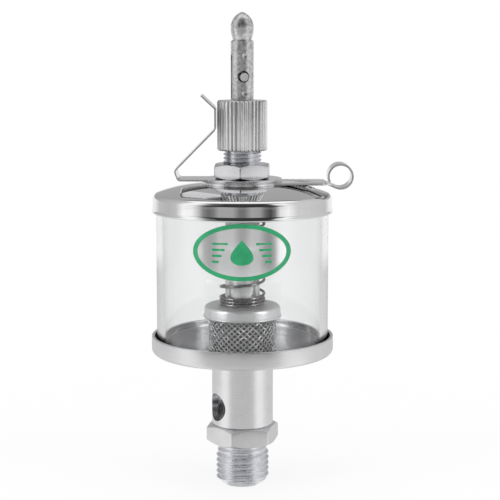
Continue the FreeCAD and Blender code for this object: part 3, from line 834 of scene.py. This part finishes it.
def threaded_tube(tube_metal, thread_metal):
    """Centre tube below the nut as the frame has it, with a threaded stem above."""
    tube = copied("tube", "centre_tube")
    trim_above(tube, STEM_SPLIT)

    def envelope(height):
        """Radius that the thread stays inside."""
        return min(STEM_RADIUS, STEM_RADIUS - STEM_CHAMFER + (STEM_TOP - height))

    low = STEM_SPLIT - STEM_CHAMFER
    rows = threaded_rows(
        STEM_RADIUS, low, STEM_TOP, STEM_PITCH, STEM_THREAD_DEPTH, envelope, STEM_ROWS
    )
    rows += [
        fixed(SPRING_BORE, STEM_TOP),
        fixed(SPRING_BORE, SPRING_BORE_BOTTOM),
        fixed(STEM_BORE, STEM_BORE_TOP),
        fixed(STEM_BORE, low),
    ]
    stem = surface_of("stem", STEM_STEPS, rows)
    finish_with(tube, tube_metal)
    finish_with(stem, thread_metal)
    return joined("threaded_tube", [tube, stem])


def trim_above(piece, height):
    """Cuts away everything over a height and closes the cut."""
    work = bmesh.new()
    work.from_mesh(piece.data)
    everything = work.verts[:] + work.edges[:] + work.faces[:]
    cut = bmesh.ops.bisect_plane(
        work, geom=everything, plane_co=(0, 0, height * MM), plane_no=(0, 0, 1), clear_outer=True
    )
    rim = [item for item in cut["geom_cut"] if isinstance(item, bmesh.types.BMEdge)]
    bmesh.ops.bridge_loops(work, edges=rim)
    work.to_mesh(piece.data)
    work.free()
    soften(piece)


def on_glass(across, height, lift):
    """Point over the glass, from its offset across the front and its height."""
    angle = math.asin(across / GLASS_RADIUS)
    radius = GLASS_RADIUS + lift
    return (radius * math.sin(angle), -radius * math.cos(angle), height)


def patch(name, loops, low_lift, high_lift, filled=True):
    """Thin sheet on the glass, from loops of (across, height) points, inner loop first."""
    steps = len(loops[0])
    count = len(loops)
    points, faces = [], []
    for lift in (high_lift, low_lift):
        for loop in loops:
            points += [on_glass(x, LABEL_HEIGHT + z, lift) for x, z in loop]
    back = count * steps
    for i in range(steps):
        j = (i + 1) % steps
        for row in range(count - 1):
            a, b = row * steps, (row + 1) * steps
            faces.append((a + i, b + i, b + j, a + j))
            faces.append((back + a + i, back + a + j, back + b + j, back + b + i))
        edge = (count - 1) * steps
        faces.append((edge + i, back + edge + i, back + edge + j, edge + j))
        if not filled:
            faces.append((i, j, back + j, back + i))
    if filled:
        faces.append(tuple(range(steps)))
        faces.append(tuple(back + k for k in reversed(range(steps))))
    return make_mesh(name, points, faces)


def oval(half_width, half_height, steps=144):
    """Oval loop, from its half width and half height."""
    turns = [FULL * i / steps for i in range(steps)]
    return [(-half_width * math.sin(t), half_height * math.cos(t)) for t in turns]


def shrunk(loop, shares):
    """The same loop drawn smaller about its middle, once for each share."""
    middle_x = sum(x for x, _ in loop) / len(loop)
    middle_z = sum(z for _, z in loop) / len(loop)
    return [
        [(middle_x + (x - middle_x) * s, middle_z + (z - middle_z) * s) for x, z in loop]
        for s in shares
    ]


def drop_loop(middle, low, size, steps=48):
    """Outline of an oil drop standing on its round end."""
    loop = []
    for i in range(steps):
        angle = FULL * i / steps
        width = DROP_WIDTH * math.sin(angle) * (0.5 - 0.5 * math.cos(angle)) ** DROP_POINT
        loop.append((middle - size * width, low + size * (0.5 + 0.5 * math.cos(angle))))
    return loop


def bar_loop(left, right, low, thickness, steps=24):
    """Outline of a level bar with round ends."""
    half = thickness / 2
    loop = []
    for i in range(steps):
        angle = FULL * i / steps
        middle = left + half if math.sin(angle) > 0 else right - half
        loop.append((middle - half * math.sin(angle), low + half + half * math.cos(angle)))
    return loop


def foil_label():
    """Oval foil, and its print: a green ring, an oil drop and level bars at both sides."""
    wide, high = LABEL_HALF_WIDTH, LABEL_HALF_HEIGHT
    outline = oval(wide, high)
    foil = patch("foil_label", shrunk(outline, PRINT_SHARES), 0, LABEL_THICKNESS)
    base = LABEL_THICKNESS
    top = LABEL_THICKNESS + PRINT_LIFT
    ring = patch("label_print", [
        oval(wide - LABEL_RING, high - LABEL_RING),
        oval(wide - LABEL_RING / 2, high - LABEL_RING / 2),
        oval(wide - LABEL_MARGIN, high - LABEL_MARGIN),
    ], base, top, filled=False)
    shapes = [drop_loop(0, DROP_LOW, DROP_SIZE)]
    for row in range(BAR_ROWS):
        reach = BAR_SHORT + BAR_GROWTH * row
        low = BAR_LOW + BAR_GAP * row
        shapes.append(bar_loop(-BAR_OUTER, reach - BAR_OUTER, low, BAR_THICKNESS))
        shapes.append(bar_loop(BAR_OUTER - reach, BAR_OUTER, low, BAR_THICKNESS))
    marks = [patch("mark", shrunk(shape, PRINT_SHARES), base, top) for shape in shapes]
    return foil, joined("label_print", [ring] + marks)


# Materials

def feed(tree, value, socket):
    """Links a socket to another one, or sets it where the value is plain."""
    if hasattr(value, "links"):
        tree.links.new(value, socket)
    else:
        socket.default_value = value


def math_node(tree, operation, *values):
    """Result of a math node with its inputs linked or set."""
    node = tree.nodes.new("ShaderNodeMath")
    node.operation = operation
    for index, value in enumerate(values):
        feed(tree, value, node.inputs[index])
    return node.outputs[0]


def length_of(tree, first, second):
    """Length of a vector with these two parts."""
    square = math_node(tree, "MULTIPLY", first, first)
    other = math_node(tree, "MULTIPLY", second, second)
    return math_node(tree, "SQRT", math_node(tree, "ADD", square, other))


def blend(tree, first, second, share):
    """Sum of two values, the first with a share and the second with the rest."""
    return math_node(tree, "ADD",
                     math_node(tree, "MULTIPLY", first, share),
                     math_node(tree, "MULTIPLY", second, 1 - share))


def mapped(tree, source, from_low, from_high, to_low=0, to_high=1):
    """A range of the source laid over another range, and held at its ends."""
    node = tree.nodes.new("ShaderNodeMapRange")
    node.inputs["From Min"].default_value = from_low
    node.inputs["From Max"].default_value = from_high
    node.inputs["To Min"].default_value = to_low
    node.inputs["To Max"].default_value = to_high
    tree.links.new(source, node.inputs["Value"])
    return node.outputs["Result"]


def ranged(tree, source, low, high):
    """The middle of a noise's range laid over a low and a high value."""
    return mapped(tree, source, NOISE_LOW, NOISE_HIGH, low, high)


def noise_at(tree, spot, scale, detail):
    """Noise at a place, with its scale linked or set."""
    noise = tree.nodes.new("ShaderNodeTexNoise")
    noise.inputs["Detail"].default_value = detail
    tree.links.new(spot, noise.inputs["Vector"])
    feed(tree, scale, noise.inputs["Scale"])
    return noise.outputs["Fac"]


def colour_mix(tree, factor, first, second):
    """Mix of two colours, each linked or set."""
    mix = tree.nodes.new("ShaderNodeMix")
    mix.data_type = "RGBA"
    tree.links.new(factor, mix.inputs["Factor"])
    feed(tree, first, mix.inputs["A"])
    feed(tree, second, mix.inputs["B"])
    return mix.outputs["Result"]


def shader_mix(tree, factor, first, second):
    """Mix of two shaders."""
    mix = tree.nodes.new("ShaderNodeMixShader")
    tree.links.new(factor, mix.inputs["Fac"])
    tree.links.new(first, mix.inputs[1])
    tree.links.new(second, mix.inputs[2])
    return mix.outputs[0]


def parts_of(tree, vector):
    """The X, Y and Z of a vector."""
    split = tree.nodes.new("ShaderNodeSeparateXYZ")
    tree.links.new(vector, split.inputs[0])
    return split.outputs["X"], split.outputs["Y"], split.outputs["Z"]


def object_place(tree):
    """The place on the object, in its own coordinates."""
    return tree.nodes.new("ShaderNodeTexCoord").outputs["Object"]


def effect_group(name, settings):
    """Node group with the given inputs, and a relief's height and a tone as its outputs."""
    tree = bpy.data.node_groups.new(name, "ShaderNodeTree")
    for label, value in settings.items():
        kind = "NodeSocketVector" if isinstance(value, tuple) else "NodeSocketFloat"
        socket = tree.interface.new_socket(name=label, in_out="INPUT", socket_type=kind)
        socket.default_value = value
    for label in ("Height", "Tone"):
        tree.interface.new_socket(name=label, in_out="OUTPUT", socket_type="NodeSocketFloat")
    given = tree.nodes.new("NodeGroupInput").outputs
    result = tree.nodes.new("NodeGroupOutput").inputs
    return tree, given, result


def turning_marks_group():
    """Fine rings that a lathe tool leaves, on the sides and on the end faces."""
    tree, given, result = effect_group("Turning Marks", {"Rings per Metre": 4000, "Uneven": 1})
    spot = object_place(tree)
    x, y, z = parts_of(tree, spot)
    along = math_node(tree, "ADD", z, length_of(tree, x, y))
    blotch = noise_at(tree, spot, BLOTCH_SCALE, BLOTCH_DETAIL)
    wander = math_node(tree, "MULTIPLY", blotch, given["Uneven"])
    count = math_node(tree, "MULTIPLY", along, given["Rings per Metre"])
    rings = tree.nodes.new("ShaderNodeTexNoise")
    rings.noise_dimensions = "1D"
    rings.inputs["Scale"].default_value = 1
    rings.inputs["Detail"].default_value = BLOTCH_DETAIL
    tree.links.new(math_node(tree, "ADD", count, wander), rings.inputs["W"])
    tree.links.new(rings.outputs["Fac"], result["Height"])
    tree.links.new(blend(tree, rings.outputs["Fac"], blotch, 0.5), result["Tone"])
    return tree


def plating_bloom_group():
    """Soft cloudiness and tiny pits of a plated surface."""
    tree, given, result = effect_group("Plating Bloom", {"Cloud Scale": 180, "Pit Scale": 1600})
    spot = object_place(tree)
    cloud = noise_at(tree, spot, given["Cloud Scale"], CLOUD_DETAIL)
    pits = noise_at(tree, spot, given["Pit Scale"], PIT_DETAIL)
    tree.links.new(pits, result["Height"])
    tree.links.new(blend(tree, cloud, pits, CLOUD_SHARE), result["Tone"])
    return tree


def drawn_grain_group():
    """Straight grain of rolled or drawn metal, along a chosen axis."""
    tree, given, result = effect_group("Drawn Grain", {"Stretch": (60, 900, 900)})
    product = tree.nodes.new("ShaderNodeVectorMath")
    product.operation = "MULTIPLY"
    tree.links.new(object_place(tree), product.inputs[0])
    tree.links.new(given["Stretch"], product.inputs[1])
    grain = noise_at(tree, product.outputs[0], 1, GRAIN_DETAIL)
    tree.links.new(grain, result["Height"])
    tree.links.new(grain, result["Tone"])
    return tree


def placed_group(tree, group, settings):
    """The group's node in a node tree, with its own values."""
    node = tree.nodes.new("ShaderNodeGroup")
    node.node_tree = group
    for name, value in settings.items():
        node.inputs[name].default_value = value
    return node


def plain(name):
    """New material, with its node tree and its shader."""
    material = bpy.data.materials.new(name)
    material.use_nodes = True
    return material, material.node_tree, material.node_tree.nodes["Principled BSDF"]


def toned(name, group, settings, dark, light):
    """Material whose colour follows an effect's tone, with its tree, its shader and the effect."""
    material, tree, shader = plain(name)
    effect = placed_group(tree, group, settings)
    share = ranged(tree, effect.outputs["Tone"], 0, 1)
    tree.links.new(colour_mix(tree, share, (*dark, 1), (*light, 1)), shader.inputs["Base Color"])
    return material, tree, shader, effect


def metal(name, group, settings, dark, light, smooth, rough, bump, depth, metallic=1):
    """Plated or bare metal whose tone, roughness and relief follow one of the effects."""
    material, tree, shader, effect = toned(name, group, settings, dark, light)
    shader.inputs["Metallic"].default_value = metallic
    tree.links.new(ranged(tree, effect.outputs["Tone"], smooth, rough), shader.inputs["Roughness"])
    relief = tree.nodes.new("ShaderNodeBump")
    relief.inputs["Strength"].default_value = bump
    relief.inputs["Distance"].default_value = depth * MM
    tree.links.new(effect.outputs["Height"], relief.inputs["Height"])
    tree.links.new(relief.outputs["Normal"], shader.inputs["Normal"])
    return material


def clear_glass():
    """Clear glass with a faint grey tint."""
    material, _, shader = plain("Clear glass")
    shader.inputs["Base Color"].default_value = GLASS_TINT
    shader.inputs["Roughness"].default_value = 0
    shader.inputs["IOR"].default_value = GLASS_INDEX
    shader.inputs["Transmission Weight"].default_value = 1
    return material


def green_ink(bloom):
    """Green print on the foil."""
    material, _, shader, _ = toned(
        "Green ink", bloom, {"Cloud Scale": 240, "Pit Scale": 2600},
        dark=(0.012, 0.26, 0.105), light=(0.03, 0.40, 0.17),
    )
    shader.inputs["Roughness"].default_value = INK_ROUGHNESS
    return material


def rubber(bloom):
    """Matt seal."""
    material, tree, shader, effect = toned(
        "Seal", bloom, {"Cloud Scale": 150, "Pit Scale": 2000},
        dark=(0.30, 0.30, 0.31), light=(0.42, 0.42, 0.43),
    )
    roughness = ranged(tree, effect.outputs["Tone"], SEAL_SMOOTH, SEAL_ROUGH)
    tree.links.new(roughness, shader.inputs["Roughness"])
    return material


def darkened(tree, mask, tone):
    """Lays a dark tone of painted shade over a material's colour where a mask is one."""
    socket = tree.nodes["Principled BSDF"].inputs["Base Color"]
    before = socket.links[0].from_socket
    tree.links.new(colour_mix(tree, mask, before, (*tone, 1)), socket)


def shaded_hole(material):
    """Paints shade on the walls of the lever's loose hole, found by their distance from the hole's axis.
    """
    tree = material.node_tree
    turned = tree.nodes.new("ShaderNodeMapping")
    turned.inputs["Location"].default_value = (HOLE_ASIDE * MM, 0, -HOLE_HEIGHT * MM)
    turned.inputs["Rotation"].default_value = (0, 0, -math.radians(LEVER_TURN))
    tree.links.new(object_place(tree), turned.inputs["Vector"])
    x, y, z = parts_of(tree, turned.outputs["Vector"])
    near = math_node(tree, "LESS_THAN", length_of(tree, x, z), HOLE_SHADE * MM)
    front = math_node(tree, "LESS_THAN", y, 0)
    darkened(tree, math_node(tree, "MULTIPLY", near, front), HOLE_SHADE_TONE)


def shaded_flutes(material):
    """Paints shade into the bottoms of the knob's flutes, found by their distance from the Z axis."""
    tree = material.node_tree
    x, y, _ = parts_of(tree, object_place(tree))
    reach = length_of(tree, x, y)
    low = mapped(tree, reach, (KNOB_RADIUS - FLUTE_LAND) * MM, (KNOB_RADIUS - FLUTE_FLOOR) * MM)
    wall = math_node(tree, "GREATER_THAN", reach, (KNOB_RADIUS - FLUTE_REACH) * MM)
    darkened(tree, math_node(tree, "MULTIPLY", low, wall), FLUTE_SHADE_TONE)


def shade_underside(material):
    """Paints shade on the faces that look down, darkening their colour."""
    tree = material.node_tree
    surface = tree.nodes.new("ShaderNodeNewGeometry")
    _, _, up = parts_of(tree, surface.outputs["Normal"])
    darkened(tree, math_node(tree, "LESS_THAN", up, UNDERSIDE), UNDERSIDE_SHADE_TONE)


def finishes():
    """Every finish, by its name."""
    bloom = plating_bloom_group()
    turning = turning_marks_group()
    grain = drawn_grain_group()

    def clouded(name, cloud, pits, dark, light, **look):
        return metal(name, bloom, {"Cloud Scale": cloud, "Pit Scale": pits}, dark, light, **look)

    def turned(name, rings, uneven, dark, light, **look):
        settings = {"Rings per Metre": rings, "Uneven": uneven}
        return metal(name, turning, settings, dark, light, **look)

    def drawn(name, stretch, dark, light, **look):
        return metal(name, grain, {"Stretch": stretch}, dark, light, **look)

    made = [
        clouded("Bright zinc", 330, 2600, (0.62, 0.62, 0.64), (0.80, 0.80, 0.81),
                smooth=0.20, rough=0.32, bump=0.3, depth=0.015),
        clouded("Barrel plated zinc", 1200, 3600, (0.34, 0.34, 0.35), (1.0, 1.0, 0.99),
                smooth=0.26, rough=0.44, bump=0.9, depth=0.07),
        turned("Turned zinc", 9000, 3.0, (0.72, 0.72, 0.73), (0.86, 0.86, 0.87),
               smooth=0.22, rough=0.34, bump=0.12, depth=0.012),
        clouded("Milled zinc", 240, 2200, (0.72, 0.72, 0.73), (0.84, 0.84, 0.85),
                smooth=0.30, rough=0.40, bump=0.2, depth=0.01),
        clouded("Thread zinc", 420, 2600, (0.72, 0.73, 0.76), (0.92, 0.93, 0.96),
                smooth=0.22, rough=0.34, bump=0.2, depth=0.01),
        turned("Spun aluminium", 7000, 2.0, (0.70, 0.70, 0.71), (0.84, 0.84, 0.85),
               smooth=0.26, rough=0.40, bump=0.15, depth=0.015),
        # Inside of the pan and the lower gasket: smoother than the spun outside, and darker as painted
        # shade
        clouded("Polished pan floor with painted shade", 90, 1800, (0.44, 0.44, 0.45), (0.58, 0.58, 0.59),
                smooth=0.20, rough=0.30, bump=0.1, depth=0.006),
        clouded("Mirror chrome", 120, 900, (0.80, 0.80, 0.81), (0.86, 0.86, 0.87),
                smooth=0.01, rough=0.04, bump=0.015, depth=0.003),
        drawn("Plated spring strip", (70, 1500, 900), (0.66, 0.66, 0.67), (0.84, 0.84, 0.85),
              smooth=0.16, rough=0.28, bump=0.15, depth=0.008),
        drawn("Cut flutes", (2000, 2000, 420), (0.78, 0.78, 0.79), (1.0, 1.0, 0.99),
              smooth=0.28, rough=0.50, bump=0.6, depth=0.035, metallic=0.9),
        turned("Turned tube", 6000, 2.0, (0.88, 0.88, 0.89), (0.97, 0.97, 0.97),
               smooth=0.50, rough=0.66, bump=0.1, depth=0.01, metallic=0.6),
        clouded("Tumbled cap", 260, 2400, (0.88, 0.88, 0.89), (1.0, 1.0, 1.0),
                smooth=0.34, rough=0.46, bump=0.2, depth=0.01, metallic=0.75),
        clouded("Peened pin", 900, 3200, (0.86, 0.86, 0.86), (0.98, 0.98, 0.98),
                smooth=0.5, rough=0.6, bump=0.4, depth=0.02),
        clouded("Drawn spring wire", 500, 3000, (0.20, 0.19, 0.19), (0.36, 0.34, 0.34),
                smooth=0.20, rough=0.32, bump=0.2, depth=0.008),
        clouded("Gauze wire", 420, 3000, (0.66, 0.66, 0.67), (0.92, 0.92, 0.92),
                smooth=0.28, rough=0.42, bump=0.2, depth=0.006, metallic=0.9),
        # Dark liner inside the gauze, as painted shade
        clouded("Dark liner as painted shade", 500, 3400, (0.24, 0.24, 0.245), (0.42, 0.42, 0.425),
                smooth=0.45, rough=0.6, bump=0.4, depth=0.02),
        clouded("Silver foil", 200, 900, (0.88, 0.89, 0.89), (0.94, 0.94, 0.94),
                smooth=0.05, rough=0.10, bump=0.05, depth=0.006, metallic=0.92),
        clear_glass(),
        green_ink(bloom),
        rubber(bloom),
    ]
    looks = {material.name: material for material in made}
    shaded_hole(looks["Barrel plated zinc"])
    shaded_flutes(looks["Cut flutes"])
    shade_underside(looks["Plated spring strip"])
    return looks


def finish_with(piece, material):
    """Gives a piece one material."""
    piece.data.materials.clear()
    piece.data.materials.append(material)
    piece.data.polygons.foreach_set("material_index", [0] * len(piece.data.polygons))


# Studio

def grey_ramp(tree, source, stops):
    """Grey levels at angles in degrees, read by an angle in radians."""
    low, high = stops[0][0], stops[-1][0]
    share = mapped(tree, source, math.radians(low), math.radians(high))
    ramp = tree.nodes.new("ShaderNodeValToRGB")
    elements = ramp.color_ramp.elements
    elements.remove(elements[0])
    for index, (angle, level) in enumerate(stops):
        along = (angle - low) / (high - low)
        element = elements[0] if index == 0 else elements.new(along)
        element.position = along
        element.color = (level, level, level, 1)
    tree.links.new(share, ramp.inputs["Fac"])
    return ramp.outputs["Color"]


def studio_cards_group():
    """Grey, black and white cards round the object, as polished metal sees them in a direction."""
    tree = bpy.data.node_groups.new("Studio Cards", "ShaderNodeTree")
    tree.interface.new_socket(name="Direction", in_out="INPUT", socket_type="NodeSocketVector")
    for label in ("Cards", "Table", "Far Table"):
        tree.interface.new_socket(name=label, in_out="OUTPUT", socket_type="NodeSocketColor")
    given = tree.nodes.new("NodeGroupInput")
    result = tree.nodes.new("NodeGroupOutput")
    x, y, z = parts_of(tree, given.outputs["Direction"])
    front = math_node(tree, "MULTIPLY", y, -1)
    around = math_node(tree, "ARCTAN2", x, front)
    over = math_node(tree, "ARCTAN2", z, front)
    rise = math_node(tree, "ARCSINE", z)
    far = grey_ramp(tree, around, FAR_CARDS)
    low = colour_mix(tree, grey_ramp(tree, rise, HORIZON), grey_ramp(tree, around, SIDE_CARDS), far)
    under = math_node(tree, "SUBTRACT", grey_ramp(tree, around, ARCH_TOP), rise)
    under = math_node(tree, "MULTIPLY", under, ARCH_SOFTNESS)
    under = math_node(tree, "MINIMUM", math_node(tree, "MAXIMUM", under, 0), 1)
    arch = math_node(tree, "MULTIPLY", under, grey_ramp(tree, rise, ARCH_FOOT))
    low = colour_mix(tree, arch, low, ARCH_GREY)
    high = grey_ramp(tree, rise, OVERHEAD)
    cards = colour_mix(tree, high, low, grey_ramp(tree, over, TOP_CARDS))
    tree.links.new(cards, result.inputs["Cards"])
    tree.links.new(grey_ramp(tree, around, TABLE_CARDS), result.inputs["Table"])
    tree.links.new(far, result.inputs["Far Table"])
    return tree


def straight_view(tree):
    """One for what the camera sees directly or through glass, and one for what gloss shows."""
    path = tree.nodes.new("ShaderNodeLightPath").outputs
    gloss = math_node(tree, "GREATER_THAN", path["Glossy Depth"], 0.5)
    clear = math_node(tree, "MAXIMUM", path["Is Camera Ray"], path["Is Transmission Ray"])
    seen = math_node(tree, "MAXIMUM", math_node(tree, "SUBTRACT", clear, gloss), 0)
    return seen, math_node(tree, "MAXIMUM", gloss, path["Is Glossy Ray"])


def cards_seen(tree, cards, coordinates):
    """Outputs of the studio cards, seen in the direction of some coordinates."""
    around = placed_group(tree, cards, {})
    direction = tree.nodes.new("ShaderNodeTexCoord").outputs[coordinates]
    tree.links.new(direction, around.inputs["Direction"])
    return around.outputs


def studio_world(cards):
    """White surroundings, a plain level for soft light, and a studio of cards for gloss."""
    world = bpy.data.worlds.new("Studio")
    bpy.context.scene.world = world
    world.use_nodes = True
    tree = world.node_tree
    tree.nodes.clear()
    output = tree.nodes.new("ShaderNodeOutputWorld")
    soft = tree.nodes.new("ShaderNodeBackground")
    soft.inputs["Color"].default_value = WHITE
    soft.inputs["Strength"].default_value = SOFT_LEVEL
    gloss = tree.nodes.new("ShaderNodeBackground")
    tree.links.new(cards_seen(tree, cards, "Generated")["Cards"], gloss.inputs["Color"])
    white = tree.nodes.new("ShaderNodeBackground")
    white.inputs["Color"].default_value = WHITE
    seen, glossy = straight_view(tree)
    lit = shader_mix(tree, glossy, soft.outputs[0], gloss.outputs[0])
    tree.links.new(shader_mix(tree, seen, lit, white.outputs[0]), output.inputs["Surface"])


def pale_floor(cards):
    """Pale floor under the foot, nearly white to the eye, that keeps a soft shadow."""
    low = -FOOT_LENGTH - FLOOR_GAP
    half = FLOOR_HALF
    floor = make_mesh(
        "floor", [(-half, -half, low), (half, -half, low), (half, half, low), (-half, half, low)],
        [(0, 1, 2, 3)],
    )
    material = bpy.data.materials.new("Pale floor")
    material.use_nodes = True
    tree = material.node_tree
    tree.nodes.clear()
    output = tree.nodes.new("ShaderNodeOutputMaterial")
    paint = tree.nodes.new("ShaderNodeBsdfDiffuse")
    paint.inputs["Color"].default_value = FLOOR_PAINT
    glow = tree.nodes.new("ShaderNodeEmission")
    glow.inputs["Strength"].default_value = 1
    reach = tree.nodes.new("ShaderNodeVectorMath")
    reach.operation = "LENGTH"
    tree.links.new(object_place(tree), reach.inputs[0])
    distance = reach.outputs["Value"]
    around = cards_seen(tree, cards, "Object")
    far = mapped(tree, distance, *TABLE_END)
    laid = tree.nodes.new("ShaderNodeEmission")
    tree.links.new(colour_mix(tree, far, around["Table"], around["Far Table"]), laid.inputs["Color"])
    seen, glossy = straight_view(tree)
    shine = math_node(tree, "MULTIPLY", glossy, FLOOR_GLOSS)
    lit = shader_mix(tree, shine, paint.outputs[0], laid.outputs[0])
    white = math_node(tree, "MULTIPLY", seen, mapped(tree, distance, *SHADOW_REACH, SHADOW_SHARE))
    tree.links.new(shader_mix(tree, white, lit, glow.outputs[0]), output.inputs["Surface"])
    floor.data.materials.append(material)


def soft_lamp(name, spot, size, power):
    """Large soft lamp aimed at the glass."""
    light = bpy.data.lights.new(name, "AREA")
    light.shape = "RECTANGLE"
    light.size, light.size_y = size
    light.energy = power
    lamp = bpy.data.objects.new(name, light)
    lamp.location = spot
    aim = Vector(LAMP_AIM) - Vector(spot)
    lamp.rotation_euler = aim.to_track_quat("-Z", "Y").to_euler()
    lamp.visible_glossy = False
    bpy.context.scene.collection.objects.link(lamp)


def studio_camera():
    """Camera at the photograph's place: level with the knob's top, tilted down."""
    data = bpy.data.cameras.new("camera")
    data.sensor_width = CAMERA_SENSOR
    data.lens = CAMERA_LENS
    data.clip_start, data.clip_end = CAMERA_CLIP
    camera = bpy.data.objects.new("camera", data)
    camera.location = [part * MM for part in CAMERA_PLACE]
    camera.rotation_euler = (math.radians(90 - CAMERA_DOWN), 0, 0)
    bpy.context.scene.collection.objects.link(camera)
    bpy.context.scene.camera = camera


# Pieces on their bodies

def place(piece, body, nodes):
    """Sets a piece on its body and in place of its nodes."""
    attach(piece, body)
    if nodes:
        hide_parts(*nodes)


def dress(looks):
    """Makes every piece and gives it its finish, body and nodes; the slot listed for each piece is not
    used.
    """
    foil, green_print = foil_label()
    nut_bore = STEM_RADIUS + NUT_GAP
    nut = hexagon("clamp_hexagon", NUT_FLATS, NUT_BOTTOM, NUT_TOP, NUT_TURN,
                  [(nut_bore, NUT_BOTTOM), (nut_bore, NUT_TOP)])
    long_coil = coil(
        "strainer_coil", COIL_RADIUS, COIL_WIRE, COIL_LOW, COIL_HIGH, COIL_TURNS,
        COIL_LOW_TURNS, COIL_START,
    )
    short_coil = coil(
        "needle_coil", NEEDLE_COIL_RADIUS, NEEDLE_COIL_WIRE, NEEDLE_COIL_LOW, NEEDLE_COIL_HIGH,
        NEEDLE_COIL_TURNS,
    )
    finished = [
        (glass_wall(), "Clear glass", "reservoir", "glass", ["glass_cylinder"]),
        (domed_lid(), "Mirror chrome", "reservoir", "lid_chrome", ["lid"]),
        (gauze("strainer_gauze"), "Gauze wire", "reservoir", "screen_wire", ["strainer_screen"]),
        # Dark liner inside the gauze, as painted shade
        (shade_liner("strainer_shade_liner"), "Dark liner as painted shade", "reservoir", "screen_wire", []),
        (strainer_cap(), "Tumbled cap", "reservoir", "inner_metal", ["strainer_cap"]),
        (long_coil, "Drawn spring wire", "reservoir", "spring_wire", ["strainer_spring"]),
        (short_coil, "Drawn spring wire", "spring_carriage", "spring_wire", ["needle_spring"]),
        (nut, "Bright zinc", "reservoir", "plated_steel", ["clamp_nut"]),
        (plate_washer(), "Bright zinc", "reservoir", "plated_steel", ["friction_washer"]),
        (hollowed_cover(), "Plated spring strip", "cover", "strip_steel", ["filler_cover"]),
        (fluted_knob("fluted_knob"), "Cut flutes", "knob", "plated_steel", ["adjusting_knob"]),
        (foil, "Silver foil", "reservoir", "label_foil", ["label"]),
        (green_print, "Green ink", "reservoir", "label_foil", []),
    ]
    for piece, look, body, slot, nodes in finished:
        finish_with(piece, looks[look])
        place(piece, body, nodes)
    pan = drip_pan(looks["Spun aluminium"], looks["Polished pan floor with painted shade"])
    place(pan, "reservoir", ["pan"])
    foot = sight_foot(looks["Turned zinc"], looks["Milled zinc"], looks["Thread zinc"])
    place(foot, "reservoir", ["base_body"])
    tube = threaded_tube(looks["Turned tube"], looks["Thread zinc"])
    place(tube, "reservoir", ["centre_tube"])

    carried = {
        "pan_seal": "Seal",
        "lower_gasket": "Polished pan floor with painted shade",
        "upper_gasket": "Seal",
        "detent_leaf": "Plated spring strip",
        "lever": "Barrel plated zinc",
        "pivot_pin": "Peened pin",
        "needle": "Turned tube",
        "needle_collar": "Turned tube",
    }
    for name, look in carried.items():
        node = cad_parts[name]
        node.data.materials.clear()
        node.data.materials.append(looks[look])
    ease_edges(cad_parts["detent_leaf"], LEAF_EASE)


studio_camera()
cards = studio_cards_group()
studio_world(cards)
pale_floor(cards)
for name, spot, size, power in SOFTBOXES:
    soft_lamp(name, spot, size, power)
dress(finishes())

bpy.context.scene.view_settings.view_transform = "Standard"
